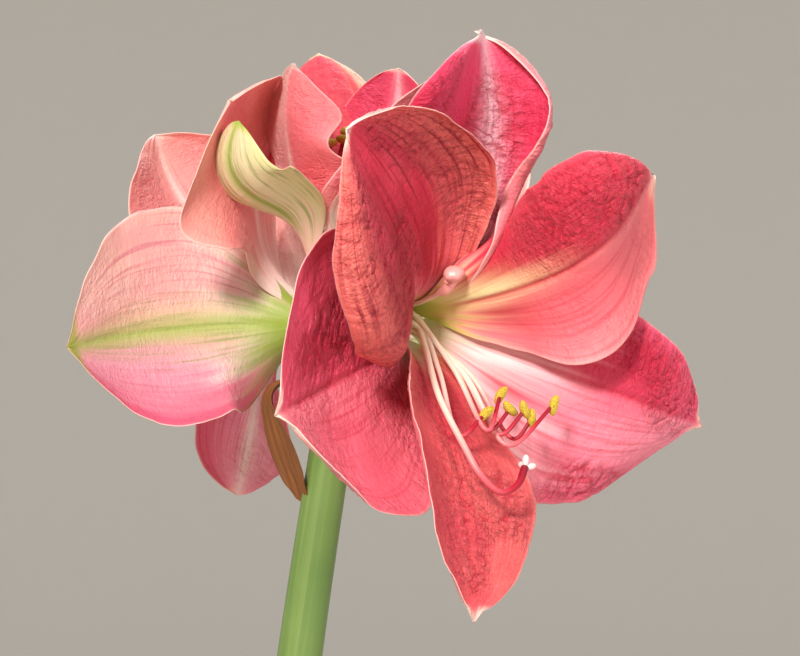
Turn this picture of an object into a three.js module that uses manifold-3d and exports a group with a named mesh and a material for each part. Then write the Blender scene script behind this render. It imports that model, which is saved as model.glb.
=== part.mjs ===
import * as THREE from 'three';
import { mergeVertices } from 'three/addons/utils/BufferGeometryUtils.js';
import Module from 'manifold-3d';

// A potted amaryllis: a clay pot of soil, a half-buried bulb with strap leaves, and one
// leaning flower stalk that carries four trumpet flowers of six petals each.
// Millimetres, +Z up, origin at the middle of the pot's foot, on the ground.

// Pot, soil and bulb
const POT_HEIGHT = 135;
const POT_RIM_RADIUS = 78;
const POT_FOOT_RADIUS = 52;
const POT_WALL = 6;
const RIM_BAND = 30;
const RIM_STEP = 4;
const POT_FLOOR = 8;
const DRAIN_HOLES = 3;
const DRAIN_RADIUS = 4.5;
const DRAIN_RING = 24;
const SOIL_TOP = 118;
const BULB_RADIUS = 45;
const BULB_FOOT = 68;
const BULB_SHOULDER = 138;
const NECK_RADIUS = 21;
const NECK_TOP = 176;
const ROOTS = 5;

// Flower stalk, from inside the bulb's neck to the point where the flowers branch
const SCAPE_FOOT = new THREE.Vector3(-1, 0, 156);
const SCAPE_BEND = new THREE.Vector3(1, 0, 300);
const SCAPE_TOP = new THREE.Vector3(35, 0, 507);
const SCAPE_FOOT_RADIUS = 10.5;
const SCAPE_TOP_RADIUS = 7.4;
const RECEPTACLE_RADIUS = 10.4;

// Fits and thicknesses
const GAP = 0.33;
const PETAL_THICKNESS = 1.0;
const LEAF_THICKNESS = 2.6;
const VALVE_THICKNESS = 0.8;

// Throat of a flower, measured along its own axis from the point where the petals part
const CLAW_DEPTH = 6;
const PETAL_RING = 5.4;
const SEPAL_RING = 6.8;
const CORE_RADIUS = 4.55;
const CORE_TOP = -1.5;
const OVARY_RADIUS = 5.6;
const OVARY_DEPTH = 17;
const PEDICEL_RADIUS = 3.7;

// Each flower: where its throat is, which way it turns and tips, in degrees, where its
// stalk starts on the receptacle and how that stalk bows, and its six petals.
// A petal: at is its place round the throat, then its length, width and where it is
// broadest, its flare in mid length and at the tip, how it sweeps, rolls and twists, the
// crease along its midrib, and for its [right, left] halves the cup, the curl of the
// margin, and the wave and its phase.
const FLOWERS = {
  front: {
    throat: [59, -34, 538.8], turn: 30, tip: -8, seat: [3.6, -5], bow: [2, -2, 22],
    petals: {
      upper_left_petal: { at: 133, length: 122, width: 96, broadest: 0.55, flare: [59, 73],
        roll: 37, twist: 9, keel: 11, cup: [49, -26], curl: [63, -103], wave: [0.8, -1.8],
        phase: [0, 108] },
      upper_right_petal: { at: 41, length: 119, width: 73, broadest: 0.76, flare: [33, 110],
        sweep: 8, roll: -6, twist: 58, keel: -4, cup: [36, -54], curl: [14, -49], wave: [4.6, -2.3],
        phase: [-31, 29] },
      bottom_petal: { at: -106, length: 126, width: 65, broadest: 0.63, flare: [43, 68], sweep: 10,
        roll: -7, twist: -4, cup: [50, 3], wave: [-1.2, -1.1], phase: [57, 64] },
      top_sepal: { at: 77, length: 116, width: 76, broadest: 0.84, flare: [79, 98], sweep: 21,
        roll: -17, twist: 51, keel: 4, cup: [110, 24], curl: [100, -65], skew: 0.25,
        wave: [6.3, -2.2], phase: [119, 99] },
      lower_right_sepal: { at: -18, length: 121, width: 76, flare: [53, 106], twist: 14, keel: -6,
        cup: [-14, -12], curl: [-13, -15], skew: -0.23, wave: [-2.2, -1.1], phase: [-57, 95] },
      lower_left_sepal: { at: -161, length: 110, width: 104, broadest: 0.64, flare: [63, 51],
        sweep: -10, twist: 8, keel: 11, cup: [-4, 25], curl: [14, 21], wave: [-0.6, -2.2],
        phase: [-55, 89] },
    },
  },
  left: {
    throat: [27.1, 9, 538.2], turn: -116, tip: 5, seat: [5.6, 2.6], bow: [10, -4, 20],
    petals: {
      upper_near_petal: { at: 89, length: 107, width: 76, broadest: 0.77, flare: [91, 104],
        sweep: -57, roll: 20, twist: -32, cup: [-2, -22], curl: [0, -19], skew: -0.22,
        wave: [-1.9, 2.6], phase: [-67, 82] },
      far_petal: { at: 174, length: 112, width: 62, flare: [50, 60], roll: -5, cup: [9, 4] },
      lower_petal: { at: 299, length: 85, width: 52, flare: [20, 33], roll: 8, cup: [24, 36],
        curl: [0, 17] },
      near_sepal: { at: -11, length: 98, width: 90, broadest: 0.5, flare: [45, 77], roll: 28,
        twist: -22, keel: -11, cup: [-20, 19], curl: [-38, -16] },
      upper_left_sepal: { at: 113, length: 108, width: 87, broadest: 0.64, flare: [28, 69],
        sweep: -30, roll: -28, twist: 26, keel: -13, cup: [4, -47], curl: [0, -29], skew: 0.15,
        wave: [-1.9, 0.7], phase: [16, 103] },
      bottom_sepal: { at: 232, length: 107, width: 51, broadest: 0.56, flare: [67, 67], sweep: 7,
        roll: -31, twist: -54, cup: [34, -30], curl: [30, -69], skew: -0.13 },
    },
  },
  upper: {
    throat: [31.6, -9, 564.5], turn: 0, tip: 76, seat: [-4.2, -4.6], bow: [-2, -7, 18],
    petals: {
      front_left_petal: { at: 178, length: 73, width: 61, flare: [10, -13], sweep: 8, roll: 15,
        twist: -11, cup: [6, 53], curl: [-30, 17], wave: [1, 4.9], phase: [54, 51] },
      back_right_petal: { at: 38, length: 75, width: 62, flare: [43, -4], cup: [18, 19] },
      front_petal: { at: -45, length: 56, width: 34, flare: [26, 36], sweep: 30, cup: [50, 35] },
      left_sepal: { at: 212, length: 67, width: 48, broadest: 0.61, flare: [63, -24], sweep: -26,
        roll: 27, keel: -4, cup: [30, 27], curl: [11, -34], skew: 0.22, wave: [0.6, -1.2],
        phase: [-64, 118] },
      back_sepal: { at: 94, length: 91, width: 63, flare: [39, 68], roll: -6, keel: -21,
        cup: [-9, -13], curl: [-37, -41] },
      front_right_sepal: { at: -22, length: 84, width: 60, broadest: 0.51, flare: [36, 36],
        roll: 10, twist: -14, cup: [31, 28], curl: [-5, -19] },
    },
  },
  back: {
    throat: [50.9, 40, 536], turn: 140, tip: 6, seat: [-1.2, 6.2], bow: [0, 2, 20],
    petals: {
      upper_left_petal: { at: 148, length: 105, width: 68, flare: [34, 58], cup: [12, 14],
        wave: [1.2, 1.2] },
      upper_right_petal: { at: 29, length: 106, width: 68, flare: [36, 60], cup: [12, 8],
        wave: [-1.4, 1.2] },
      bottom_petal: { at: -91, length: 100, width: 59, flare: [32, 54], cup: [21, 21],
        wave: [1, -1.2] },
      top_sepal: { at: 88, length: 106, width: 76, flare: [52, 76], cup: [12, 8],
        wave: [1.4, 1.2] },
      lower_right_sepal: { at: -30, length: 104, width: 74, flare: [52, 74], cup: [5, 10],
        wave: [-1.2, 1.4] },
      lower_left_sepal: { at: 208, length: 102, width: 72, flare: [50, 74], cup: [10, 5],
        wave: [1.2, -1.4] },
    },
  },
};

// The front flower's stamens droop, then turn up at the end. In the flower's own frame,
// as [to its right, up, out along its axis]: the lowest point and the place of the anther.
const FRONT_STAMENS = [
  [[-8, -31, 56], [3, -24, 53]],
  [[1, -29, 58], [12, -19, 47]],
  [[9, -34, 59], [27, -21, 57]],
  [[15, -33, 53], [20, -26, 55]],
  [[8, -31, 55], [17, -23, 55]],
  [[5, -30, 53], [13, -23, 52]],
];
const FRONT_STYLE = [
  [-11, -20, 46], [-10, -32, 60], [-7, -42, 69], [-1, -47, 72], [6, -45, 71], [11, -40, 67],
];
const COLLAR_INSIDE = 1.9;
const COLLAR_OUTSIDE = 4;
const COLLAR_HEIGHT = 1.8;
const FILAMENT_RADIUS = 1.0;
const ANTHER = [1.4, 3.1, 1.5];
const STYLE_RADIUS = 1.1;
const STIGMA_LOBE = [2.4, 1.1, 1.1];

// Strap leaves: direction round the neck, length, width, lean at foot and tip, and the
// stretch of the leaf over which it bends
const LEAVES = [
  { towards: 168, length: 235, width: 40, lean: [6, 104], bend: [-0.05, 1.2] },
  { towards: 285, length: 190, width: 38, lean: [8, 92], bend: [-0.05, 1.2] },
  { towards: 48, length: 250, width: 42, lean: [4, 110], bend: [-0.05, 1.2] },
];
const LEAF_RING = 15.2;
const LEAF_FOOT = 160;

// The two papery halves of the bud sheath, which fold outwards and hang down
const VALVES = [
  { towards: 186, length: 64, width: 18, lean: [8, 200], bend: [0, 0.42] },
  { towards: 8, length: 52, width: 15, lean: [20, 196], bend: [0, 0.38] },
];
const VALVE_START = 3;

const COLOURS = {
  clay: 0xb5633f, soil: 0x3a2a20, bulb: 0x8a5a34, leaf: 0x4f7a35, stalk: 0x7a9a4c, husk: 0x8a5a2c,
  petal: 0xd8495a, sepal: 0xe0707a, filament: 0xe9c3b8, style: 0xd8808a,
};

const wasm = await Module();
wasm.setup();
const rad = THREE.MathUtils.degToRad;
const ease = (x, from, to) => THREE.MathUtils.smoothstep(x, from, to);
const plant = new THREE.Group();

// Seeded random numbers between 0 and 1, so that every build is alike
function randomFrom(seed) {
  let state = seed;
  return () => {
    state = (state * 16807) % 2147483647;
    return state / 2147483647;
  };
}

// A closed geometry as a solid that can be joined to others or cut by them
function solidOf(geometry) {
  const bare = geometry.clone();
  bare.deleteAttribute('normal');
  bare.deleteAttribute('uv');
  const merged = mergeVertices(bare, 1e-4);
  const index = merged.index.array;
  const triangles = [];
  for (let i = 0; i < index.length; i += 3) {
    const [a, b, c] = [index[i], index[i + 1], index[i + 2]];
    if (a !== b && b !== c && c !== a) triangles.push(a, b, c);
  }
  const mesh = new wasm.Mesh({
    numProp: 3,
    vertProperties: new Float32Array(merged.attributes.position.array),
    triVerts: new Uint32Array(triangles),
  });
  return new wasm.Manifold(mesh);
}

// A solid as an indexed geometry
function geometryOf(solid) {
  const { vertProperties, triVerts } = solid.getMesh();
  const geometry = new THREE.BufferGeometry();
  geometry.setAttribute('position', new THREE.BufferAttribute(vertProperties, 3));
  geometry.setIndex(new THREE.BufferAttribute(triVerts, 1));
  geometry.computeVertexNormals();
  return geometry;
}

// Every solid placed so far with a swollen copy of it, which later solids keep clear of
const placed = [];

function boxesMeet(a, b) {
  return [0, 1, 2].every((k) => a.min[k] < b.max[k] && b.min[k] < a.max[k]);
}

// Places a solid: it gives way to the swollen copies of those before it, and keeps only
// its largest body where it is cut
function place(name, solid, swollen, colour, roughness) {
  let kept = solid;
  for (const other of placed) {
    if (boxesMeet(solid.boundingBox(), other.swollen.boundingBox())) kept = kept.subtract(other.swollen);
  }
  const bodies = kept.decompose();
  bodies.sort((a, b) => b.volume() - a.volume());
  const mesh = new THREE.Mesh(
    geometryOf(bodies[0]),
    new THREE.MeshStandardMaterial({ color: colour, roughness, metalness: 0 }),
  );
  mesh.name = name;
  plant.add(mesh);
  placed.push({ name, swollen });
}

// A solid turned on a lathe about Z, from [radius, height] points
function turned(profile, sides, shape = (x) => x) {
  const points = profile.map(([r, z]) => new THREE.Vector2(r, z));
  const geometry = new THREE.LatheGeometry(points, sides);
  geometry.rotateX(Math.PI / 2);
  const p = geometry.attributes.position;
  const v = new THREE.Vector3();
  for (let i = 0; i < p.count; i += 1) {
    v.fromBufferAttribute(p, i);
    shape(v);
    p.setXYZ(i, v.x, v.y, v.z);
  }
  const solid = solidOf(geometry);
  return solid.volume() > 0 ? solid : solidOf(flipped(geometry));
}

// The same geometry with its faces turned over
function flipped(geometry) {
  const copy = geometry.clone();
  const index = Array.from(copy.index.array);
  for (let i = 0; i < index.length; i += 3) [index[i], index[i + 1]] = [index[i + 1], index[i]];
  copy.setIndex(index);
  return copy;
}

// A round stem along a curve, with a radius that changes along it and flat closed ends
function stem(curve, radiusAt, steps, sides, swell = 0) {
  const frames = curve.computeFrenetFrames(steps, false);
  const positions = [];
  const index = [];
  for (let i = 0; i <= steps; i += 1) {
    const u = i / steps;
    const centre = curve.getPointAt(u);
    if (i === 0) centre.addScaledVector(frames.tangents[0], -swell);
    if (i === steps) centre.addScaledVector(frames.tangents[steps], swell);
    const r = radiusAt(u) + swell;
    for (let k = 0; k < sides; k += 1) {
      const angle = (2 * Math.PI * k) / sides;
      const point = centre.clone()
        .addScaledVector(frames.normals[i], r * Math.cos(angle))
        .addScaledVector(frames.binormals[i], r * Math.sin(angle));
      positions.push(...point);
    }
  }
  for (let i = 0; i < steps; i += 1) {
    for (let k = 0; k < sides; k += 1) {
      const a = i * sides + k;
      const b = i * sides + ((k + 1) % sides);
      index.push(a, b, a + sides, b, b + sides, a + sides);
    }
  }
  const last = steps * sides;
  for (let k = 1; k < sides - 1; k += 1) {
    index.push(0, k + 1, k);
    index.push(last, last + k, last + k + 1);
  }
  const geometry = new THREE.BufferGeometry();
  geometry.setAttribute('position', new THREE.Float32BufferAttribute(positions, 3));
  geometry.setIndex(index);
  return solidOf(geometry);
}

// A thin closed blade about a grid of points, rows along it and columns across it. The
// two faces are split into triangles alike.
function blade(grid, thicknessAt, swell = 0) {
  const rows = grid.length;
  const columns = grid[0].length;
  const clampRow = (i) => Math.min(Math.max(i, 0), rows - 1);
  const clampColumn = (j) => Math.min(Math.max(j, 0), columns - 1);
  const across = (i, j) => grid[i][clampColumn(j + 1)].clone().sub(grid[i][clampColumn(j - 1)]).normalize();
  const along = (i, j) => grid[clampRow(i + 1)][j].clone().sub(grid[clampRow(i - 1)][j]).normalize();
  const positions = [];
  for (const face of [1, -1]) {
    for (let i = 0; i < rows; i += 1) {
      for (let j = 0; j < columns; j += 1) {
        const normal = across(i, j).cross(along(i, j)).normalize();
        const u = i / (rows - 1);
        const v = (2 * j) / (columns - 1) - 1;
        const point = grid[i][j].clone().addScaledVector(normal, face * (thicknessAt(u, v) / 2 + swell));
        if (j === 0) point.addScaledVector(across(i, j), -swell);
        if (j === columns - 1) point.addScaledVector(across(i, j), swell);
        if (i === 0) point.addScaledVector(along(i, j), -swell);
        if (i === rows - 1) point.addScaledVector(along(i, j), swell);
        positions.push(...point);
      }
    }
  }
  const back = rows * columns;
  const index = [];
  for (let i = 0; i < rows - 1; i += 1) {
    for (let j = 0; j < columns - 1; j += 1) {
      const a = i * columns + j;
      const [b, c, d] = [a + 1, a + columns, a + columns + 1];
      index.push(a, b, d, a, d, c);
      index.push(back + a, back + d, back + b, back + a, back + c, back + d);
    }
  }
  const border = [];
  for (let j = 0; j < columns - 1; j += 1) border.push(j);
  for (let i = 0; i < rows - 1; i += 1) border.push(i * columns + columns - 1);
  for (let j = columns - 1; j > 0; j -= 1) border.push((rows - 1) * columns + j);
  for (let i = rows - 1; i > 0; i -= 1) border.push(i * columns);
  border.forEach((a, k) => {
    const b = border[(k + 1) % border.length];
    index.push(a, back + a, b, b, back + a, back + b);
  });
  const geometry = new THREE.BufferGeometry();
  geometry.setAttribute('position', new THREE.Float32BufferAttribute(positions, 3));
  geometry.setIndex(index);
  return solidOf(geometry);
}

// A flower's own frame: x to its right as one faces it, y up, z out along its axis
function flowerFrame({ throat, turn, tip }) {
  const [yaw, pitch] = [rad(turn), rad(tip)];
  const level = new THREE.Vector3(Math.sin(yaw), -Math.cos(yaw), 0);
  const axis = level.multiplyScalar(Math.cos(pitch)).add(new THREE.Vector3(0, 0, Math.sin(pitch)));
  const right = new THREE.Vector3(Math.cos(yaw), Math.sin(yaw), 0);
  const up = axis.clone().cross(right);
  return new THREE.Matrix4().makeBasis(right, up, axis).setPosition(...throat);
}

const PETAL = {
  broadest: 0.58, sweep: 0, roll: 0, twist: 0, keel: 0, cup: [0, 0], curl: [0, 0], skew: 0,
  wave: [0, 0], phase: [0, 90],
};
const FOOT_FLARE = 12;
const WAVES = 2.5;
const CLAW_WIDTH = 0.075;
const TIP_WIDTH = 0.9;
const CLAW_WRAP = rad(62);

// Half width of a petal at u along it: a narrow claw that swells to a broad blade and
// closes in an elliptic tip
function halfWidth(petal, u) {
  const rise = Math.sin((Math.PI / 2) * Math.min(u / petal.broadest, 1)) ** 1.7;
  const past = Math.max((u - petal.broadest) / (1 - petal.broadest), 0);
  const full = (CLAW_WIDTH + (1 - CLAW_WIDTH) * rise) * (1 - past ** 2) ** 0.62;
  return Math.max((petal.width / 2) * full, TIP_WIDTH);
}

// A petal as a grid of points in its flower's frame. Its midrib starts at the throat and
// flares outwards; each cross-section is an arc whose angle grows towards the margin, round
// the throat at the claw and cupped and curled further out, with a wave along the margin.
function petalGrid(description, ring, rows, halves) {
  const petal = { ...PETAL, ...description };
  const at = rad(petal.at);
  const outward = new THREE.Vector3(Math.cos(at), Math.sin(at), 0);
  const round = new THREE.Vector3(-Math.sin(at), Math.cos(at), 0);
  const axis = new THREE.Vector3(0, 0, 1);
  const heading = (u) => {
    const flare = rad(FOOT_FLARE + (petal.flare[0] - FOOT_FLARE) * ease(u, 0.02, 0.5)
      + (petal.flare[1] - petal.flare[0]) * ease(u, 0.45, 1));
    const sweep = rad(petal.sweep) * ease(u, 0.05, 1);
    const out = outward.clone().multiplyScalar(Math.cos(sweep)).addScaledVector(round, Math.sin(sweep));
    const side = round.clone().multiplyScalar(Math.cos(sweep)).addScaledVector(outward, -Math.sin(sweep));
    return { forward: out.multiplyScalar(Math.sin(flare)).addScaledVector(axis, Math.cos(flare)), side };
  };
  const fine = 4;
  const middle = outward.clone().multiplyScalar(ring).addScaledVector(axis, -CLAW_DEPTH);
  const grid = [];
  for (let i = 0; i <= rows; i += 1) {
    const u = i / rows;
    const { forward, side } = heading(u);
    const inward = forward.clone().cross(side);
    const roll = rad(petal.roll * ease(u, 0.05, 0.4) + petal.twist * ease(u, 0.4, 1));
    const width = side.clone().multiplyScalar(Math.cos(roll)).addScaledVector(inward, Math.sin(roll));
    const height = inward.clone().multiplyScalar(Math.cos(roll)).addScaledVector(side, -Math.sin(roll));
    const w = halfWidth(petal, u);
    const wrap = Math.min(w / Math.max(Math.hypot(middle.x, middle.y), 1), CLAW_WRAP);
    const blend = ease(u, 0.1, 0.42);
    const ripple = ease(u, 0.2, 0.6) * (1 - 0.5 * ease(u, 0.85, 1));
    const row = new Array(2 * halves + 1);
    for (const [k, sign] of [[0, -1], [1, 1]]) {
      let [x, z] = [0, 0];
      row[halves] = middle.clone();
      for (let j = 1; j <= halves * fine; j += 1) {
        const v = (j - 0.5) / (halves * fine);
        const cupped = rad(petal.cup[k]) * v + rad(petal.curl[k]) * Math.max((v - 0.45) / 0.55, 0) ** 2
          + rad(petal.keel) * (1 - Math.exp(-9 * v));
        const angle = (1 - blend) * wrap * v + blend * cupped;
        const step = (w * (1 + sign * petal.skew)) / (halves * fine);
        x += sign * Math.cos(angle) * step;
        z += Math.sin(angle) * step;
        if (j % fine === 0) {
          const edge = j / (halves * fine);
          const crest = petal.wave[k] * ripple * edge ** 2.5
            * Math.sin(2 * Math.PI * WAVES * u + rad(petal.phase[k]));
          row[halves + (sign * j) / fine] = middle.clone()
            .addScaledVector(width, x)
            .addScaledVector(height, z + crest);
        }
      }
    }
    grid.push(row);
    for (let k = 0; k < fine * 2 && i < rows; k += 1) {
      const part = 1 / (fine * 2 * rows);
      middle.addScaledVector(heading(u + (k + 0.5) * part).forward, petal.length * part);
    }
  }
  return grid;
}

const petalThickness = (u, v) => PETAL_THICKNESS * (1 - 0.3 * v * v - 0.05 * u);

const inFrame = (grid, frame) => grid.map((row) => row.map((point) => point.applyMatrix4(frame)));

// Pot of fired clay with a thick rim band and drain holes in its floor, hollow inside
const BAND_FOOT = POT_HEIGHT - RIM_BAND;
const RIM_INSIDE = POT_RIM_RADIUS - RIM_STEP - POT_WALL;
const FLOOR_RADIUS = POT_FOOT_RADIUS - POT_WALL;
const potProfile = [
  [0, 0], [POT_FOOT_RADIUS - 1.5, 0], [POT_FOOT_RADIUS, 1.5],
  [POT_RIM_RADIUS - RIM_STEP, BAND_FOOT], [POT_RIM_RADIUS - 1, BAND_FOOT + 1.5],
  [POT_RIM_RADIUS, BAND_FOOT + 4], [POT_RIM_RADIUS, POT_HEIGHT - 2.5],
  [POT_RIM_RADIUS - 2.5, POT_HEIGHT], [RIM_INSIDE + 2.5, POT_HEIGHT],
  [RIM_INSIDE, POT_HEIGHT - 2.5], [RIM_INSIDE, BAND_FOOT],
  [FLOOR_RADIUS + 4, POT_FLOOR + 2], [FLOOR_RADIUS, POT_FLOOR], [0, POT_FLOOR],
];
let pot = turned(potProfile, 36);
for (let k = 0; k < DRAIN_HOLES; k += 1) {
  const turn = (2 * Math.PI * k) / DRAIN_HOLES;
  const hole = new THREE.CylinderGeometry(DRAIN_RADIUS, DRAIN_RADIUS, 3 * POT_FLOOR, 10);
  hole.rotateX(Math.PI / 2);
  hole.translate(DRAIN_RING * Math.cos(turn), DRAIN_RING * Math.sin(turn), 0);
  pot = pot.subtract(solidOf(hole));
}
place('pot', pot, pot, COLOURS.clay, 0.9);

// Flower stalk: a long slender stem that leans, and widens at the top to seat the flowers
const scapeCurve = new THREE.QuadraticBezierCurve3(SCAPE_FOOT, SCAPE_BEND, SCAPE_TOP);
const scapeRadius = (u) => THREE.MathUtils.lerp(SCAPE_FOOT_RADIUS, SCAPE_TOP_RADIUS, u ** 0.8)
  + (RECEPTACLE_RADIUS - SCAPE_TOP_RADIUS) * ease(u, 0.95, 1);
const scape = (swell) => stem(scapeCurve, scapeRadius, 14, 12, swell);
place('scape', scape(0), scape(GAP), COLOURS.stalk, 0.5);

// A channelled strap as a grid of points, from a foot that wraps a round stem. It leans
// outwards more and more along its bend, flattens out, and closes in a pointed tip.
function strapGrid({ towards, length, width, lean, bend }, start, ring, rows, halves, footWidth) {
  const at = rad(towards);
  const outward = new THREE.Vector3(Math.cos(at), Math.sin(at), 0);
  const round = new THREE.Vector3(-Math.sin(at), Math.cos(at), 0);
  const up = new THREE.Vector3(0, 0, 1);
  const middle = start.clone().addScaledVector(outward, ring);
  const grid = [];
  for (let i = 0; i <= rows; i += 1) {
    const u = i / rows;
    const angle = rad(THREE.MathUtils.lerp(lean[0], lean[1], ease(u, ...bend)));
    const forward = up.clone().multiplyScalar(Math.cos(angle)).addScaledVector(outward, Math.sin(angle));
    const inward = forward.clone().cross(round);
    const fill = footWidth + (1 - footWidth) * ease(u, 0, 0.4);
    const w = Math.max((width / 2) * fill * (1 - Math.max((u - 0.6) / 0.4, 0) ** 2.4) ** 0.6, TIP_WIDTH);
    const wrap = THREE.MathUtils.lerp(w / ring, rad(20), ease(u, 0, 0.5));
    const row = [];
    for (let j = -halves; j <= halves; j += 1) {
      const v = j / halves;
      const turn = wrap * v;
      const x = Math.abs(wrap) > 1e-3 ? (w / wrap) * Math.sin(turn) : w * v;
      const z = Math.abs(wrap) > 1e-3 ? (w / wrap) * (1 - Math.cos(turn)) : 0;
      row.push(middle.clone().addScaledVector(round, x).addScaledVector(inward, z));
    }
    grid.push(row);
    middle.addScaledVector(forward, length / rows);
  }
  return grid;
}

// Strap leaves stand round the flower stalk and arch outwards
const leafThickness = (u, v) => LEAF_THICKNESS * (1 - 0.45 * u) * (1 - 0.45 * v * v);
LEAVES.forEach((leaf, k) => {
  const grid = strapGrid(leaf, new THREE.Vector3(0, 0, LEAF_FOOT), LEAF_RING, 12, 2, 0.62);
  place(`leaf_${k + 1}`, blade(grid, leafThickness), blade(grid, leafThickness, GAP), COLOURS.leaf, 0.45);
});

// Bulb: a round onion-like body in papery scales, faintly ribbed, with a neck round the
// leaves and a bundle of roots from its foot
const bulbProfile = [
  [0, BULB_FOOT], [16, BULB_FOOT + 1], [30, BULB_FOOT + 8], [41, BULB_FOOT + 22],
  [BULB_RADIUS, BULB_FOOT + 38], [44, BULB_FOOT + 52], [38, BULB_SHOULDER - 2],
  [30, BULB_SHOULDER + 9], [24, BULB_SHOULDER + 19], [NECK_RADIUS, BULB_SHOULDER + 29],
  [NECK_RADIUS - 0.5, NECK_TOP - 2], [NECK_RADIUS - 3, NECK_TOP], [0, NECK_TOP],
];
const ribs = (swell) => (v) => {
  const r = Math.hypot(v.x, v.y);
  const turn = Math.atan2(v.y, v.x);
  const ribbed = r * (1 + 0.014 * Math.sin(9 * turn) + 0.01 * Math.sin(4 * turn + 1));
  const scale = r > 0 ? (ribbed + swell) / r : 1;
  v.x *= scale;
  v.y *= scale;
  v.z += swell * Math.sign(v.z - (BULB_FOOT + NECK_TOP) / 2);
};
const rootRandom = randomFrom(7);
const rootCurves = Array.from({ length: ROOTS }, (_, k) => {
  const turn = (2 * Math.PI * (k + 0.5 * rootRandom())) / ROOTS;
  const [reach, drop] = [22 + 12 * rootRandom(), 34 + 14 * rootRandom()];
  const spot = (r, z) => new THREE.Vector3(r * Math.cos(turn), r * Math.sin(turn), z);
  const end = spot(reach, BULB_FOOT - drop);
  return new THREE.QuadraticBezierCurve3(spot(12, BULB_FOOT + 6), spot(16, BULB_FOOT - 18), end);
});
const rootRadius = (u) => 2.1 - 1.1 * u;
const bulbWithRoots = (swell) => rootCurves.reduce(
  (body, curve) => body.add(stem(curve, rootRadius, 3, 5, swell)),
  turned(bulbProfile, 24, ribs(swell)),
);
place('bulb', bulbWithRoots(0), bulbWithRoots(GAP), COLOURS.bulb, 0.7);

// Soil: fills the pot round the bulb and its roots, with an uneven top
const soilProfile = [
  [0, POT_FLOOR + GAP], [FLOOR_RADIUS - GAP - 0.2, POT_FLOOR + GAP],
  [FLOOR_RADIUS + 4 - GAP, POT_FLOOR + 2 + 2 * GAP], [RIM_INSIDE - GAP - 0.1, BAND_FOOT],
  [RIM_INSIDE - GAP, SOIL_TOP - 2], [RIM_INSIDE - 6, SOIL_TOP], [RIM_INSIDE - 16, SOIL_TOP + 1],
  [RIM_INSIDE - 26, SOIL_TOP + 2], [0, SOIL_TOP + 3],
];
const lumps = (v) => {
  const broad = 0.9 * Math.sin(v.x / 5.3) * Math.cos(v.y / 6.1);
  if (v.z > SOIL_TOP - 0.5) v.z += broad + 0.6 * Math.sin(v.x / 2.9 + v.y / 3.7);
};
const soil = turned(soilProfile, 30, lumps);
place('potting_soil', soil, soil, COLOURS.soil, 1);

// Flower stalks: each rises from the receptacle, swells into the ovary and ends as the
// core that the petals' claws stand round
const frames = {};
for (const [flower, description] of Object.entries(FLOWERS)) {
  const frame = flowerFrame(description);
  frames[flower] = frame;
  const down = (depth) => new THREE.Vector3(0, 0, depth).applyMatrix4(frame);
  const foot = SCAPE_TOP.clone().add(new THREE.Vector3(...description.seat, GAP + 0.1));
  const knee = foot.clone().add(new THREE.Vector3(...description.bow));
  const curve = new THREE.CatmullRomCurve3(
    [foot, knee, down(-OVARY_DEPTH - 6), down(-OVARY_DEPTH + 4), down(-8), down(CORE_TOP)],
    false,
    'centripetal',
  );
  const total = curve.getLength();
  const radius = (u) => {
    const depth = (1 - u) * total - CORE_TOP;
    const ovary = ease(depth, 7, 11) * (1 - ease(depth, OVARY_DEPTH, OVARY_DEPTH + 6));
    const base = THREE.MathUtils.lerp(CORE_RADIUS, PEDICEL_RADIUS, ease(depth, 8, OVARY_DEPTH + 4));
    return base + (OVARY_RADIUS - CORE_RADIUS) * ovary;
  };
  const stalk = (swell) => stem(curve, radius, 11, 8, swell);
  place(`${flower}_stalk`, stalk(0), stalk(GAP), COLOURS.stalk, 0.5);
}

// Stamens: six filaments that grow from one collar on the core, each with an anther
function stamenSolid(paths, frame, steps, sides, swell) {
  const rise = CORE_TOP + GAP + 0.05;
  const [inner, outer] = [COLLAR_INSIDE - swell, COLLAR_OUTSIDE + swell];
  const top = rise + COLLAR_HEIGHT;
  let body = turned([[inner, rise], [outer, rise], [outer, top], [inner, top], [inner, rise]], 2 * sides);
  paths.forEach(([low, end], k) => {
    const turn = (2 * Math.PI * (k + 0.5)) / paths.length;
    const ring = (COLLAR_INSIDE + COLLAR_OUTSIDE) / 2;
    const start = new THREE.Vector3(ring * Math.cos(turn), ring * Math.sin(turn), rise + 0.5);
    const points = [
      start,
      start.clone().add(new THREE.Vector3(0, 0, 6)),
      new THREE.Vector3(low[0] * 0.55, low[1] * 0.42, low[2] * 0.6),
      new THREE.Vector3(...low),
      new THREE.Vector3(...end),
    ];
    const curve = new THREE.CatmullRomCurve3(points, false, 'centripetal');
    body = body.add(stem(curve, (u) => FILAMENT_RADIUS * (1 - 0.3 * u), steps, sides, swell));
    const anther = new THREE.SphereGeometry(1, 4, 4);
    anther.scale(ANTHER[0] + swell, ANTHER[1] + swell, ANTHER[2] + swell);
    anther.rotateZ(rad(20 * (k - 2.5)));
    anther.translate(...end);
    body = body.add(solidOf(anther));
  });
  return body.transform(frame.elements);
}

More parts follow.
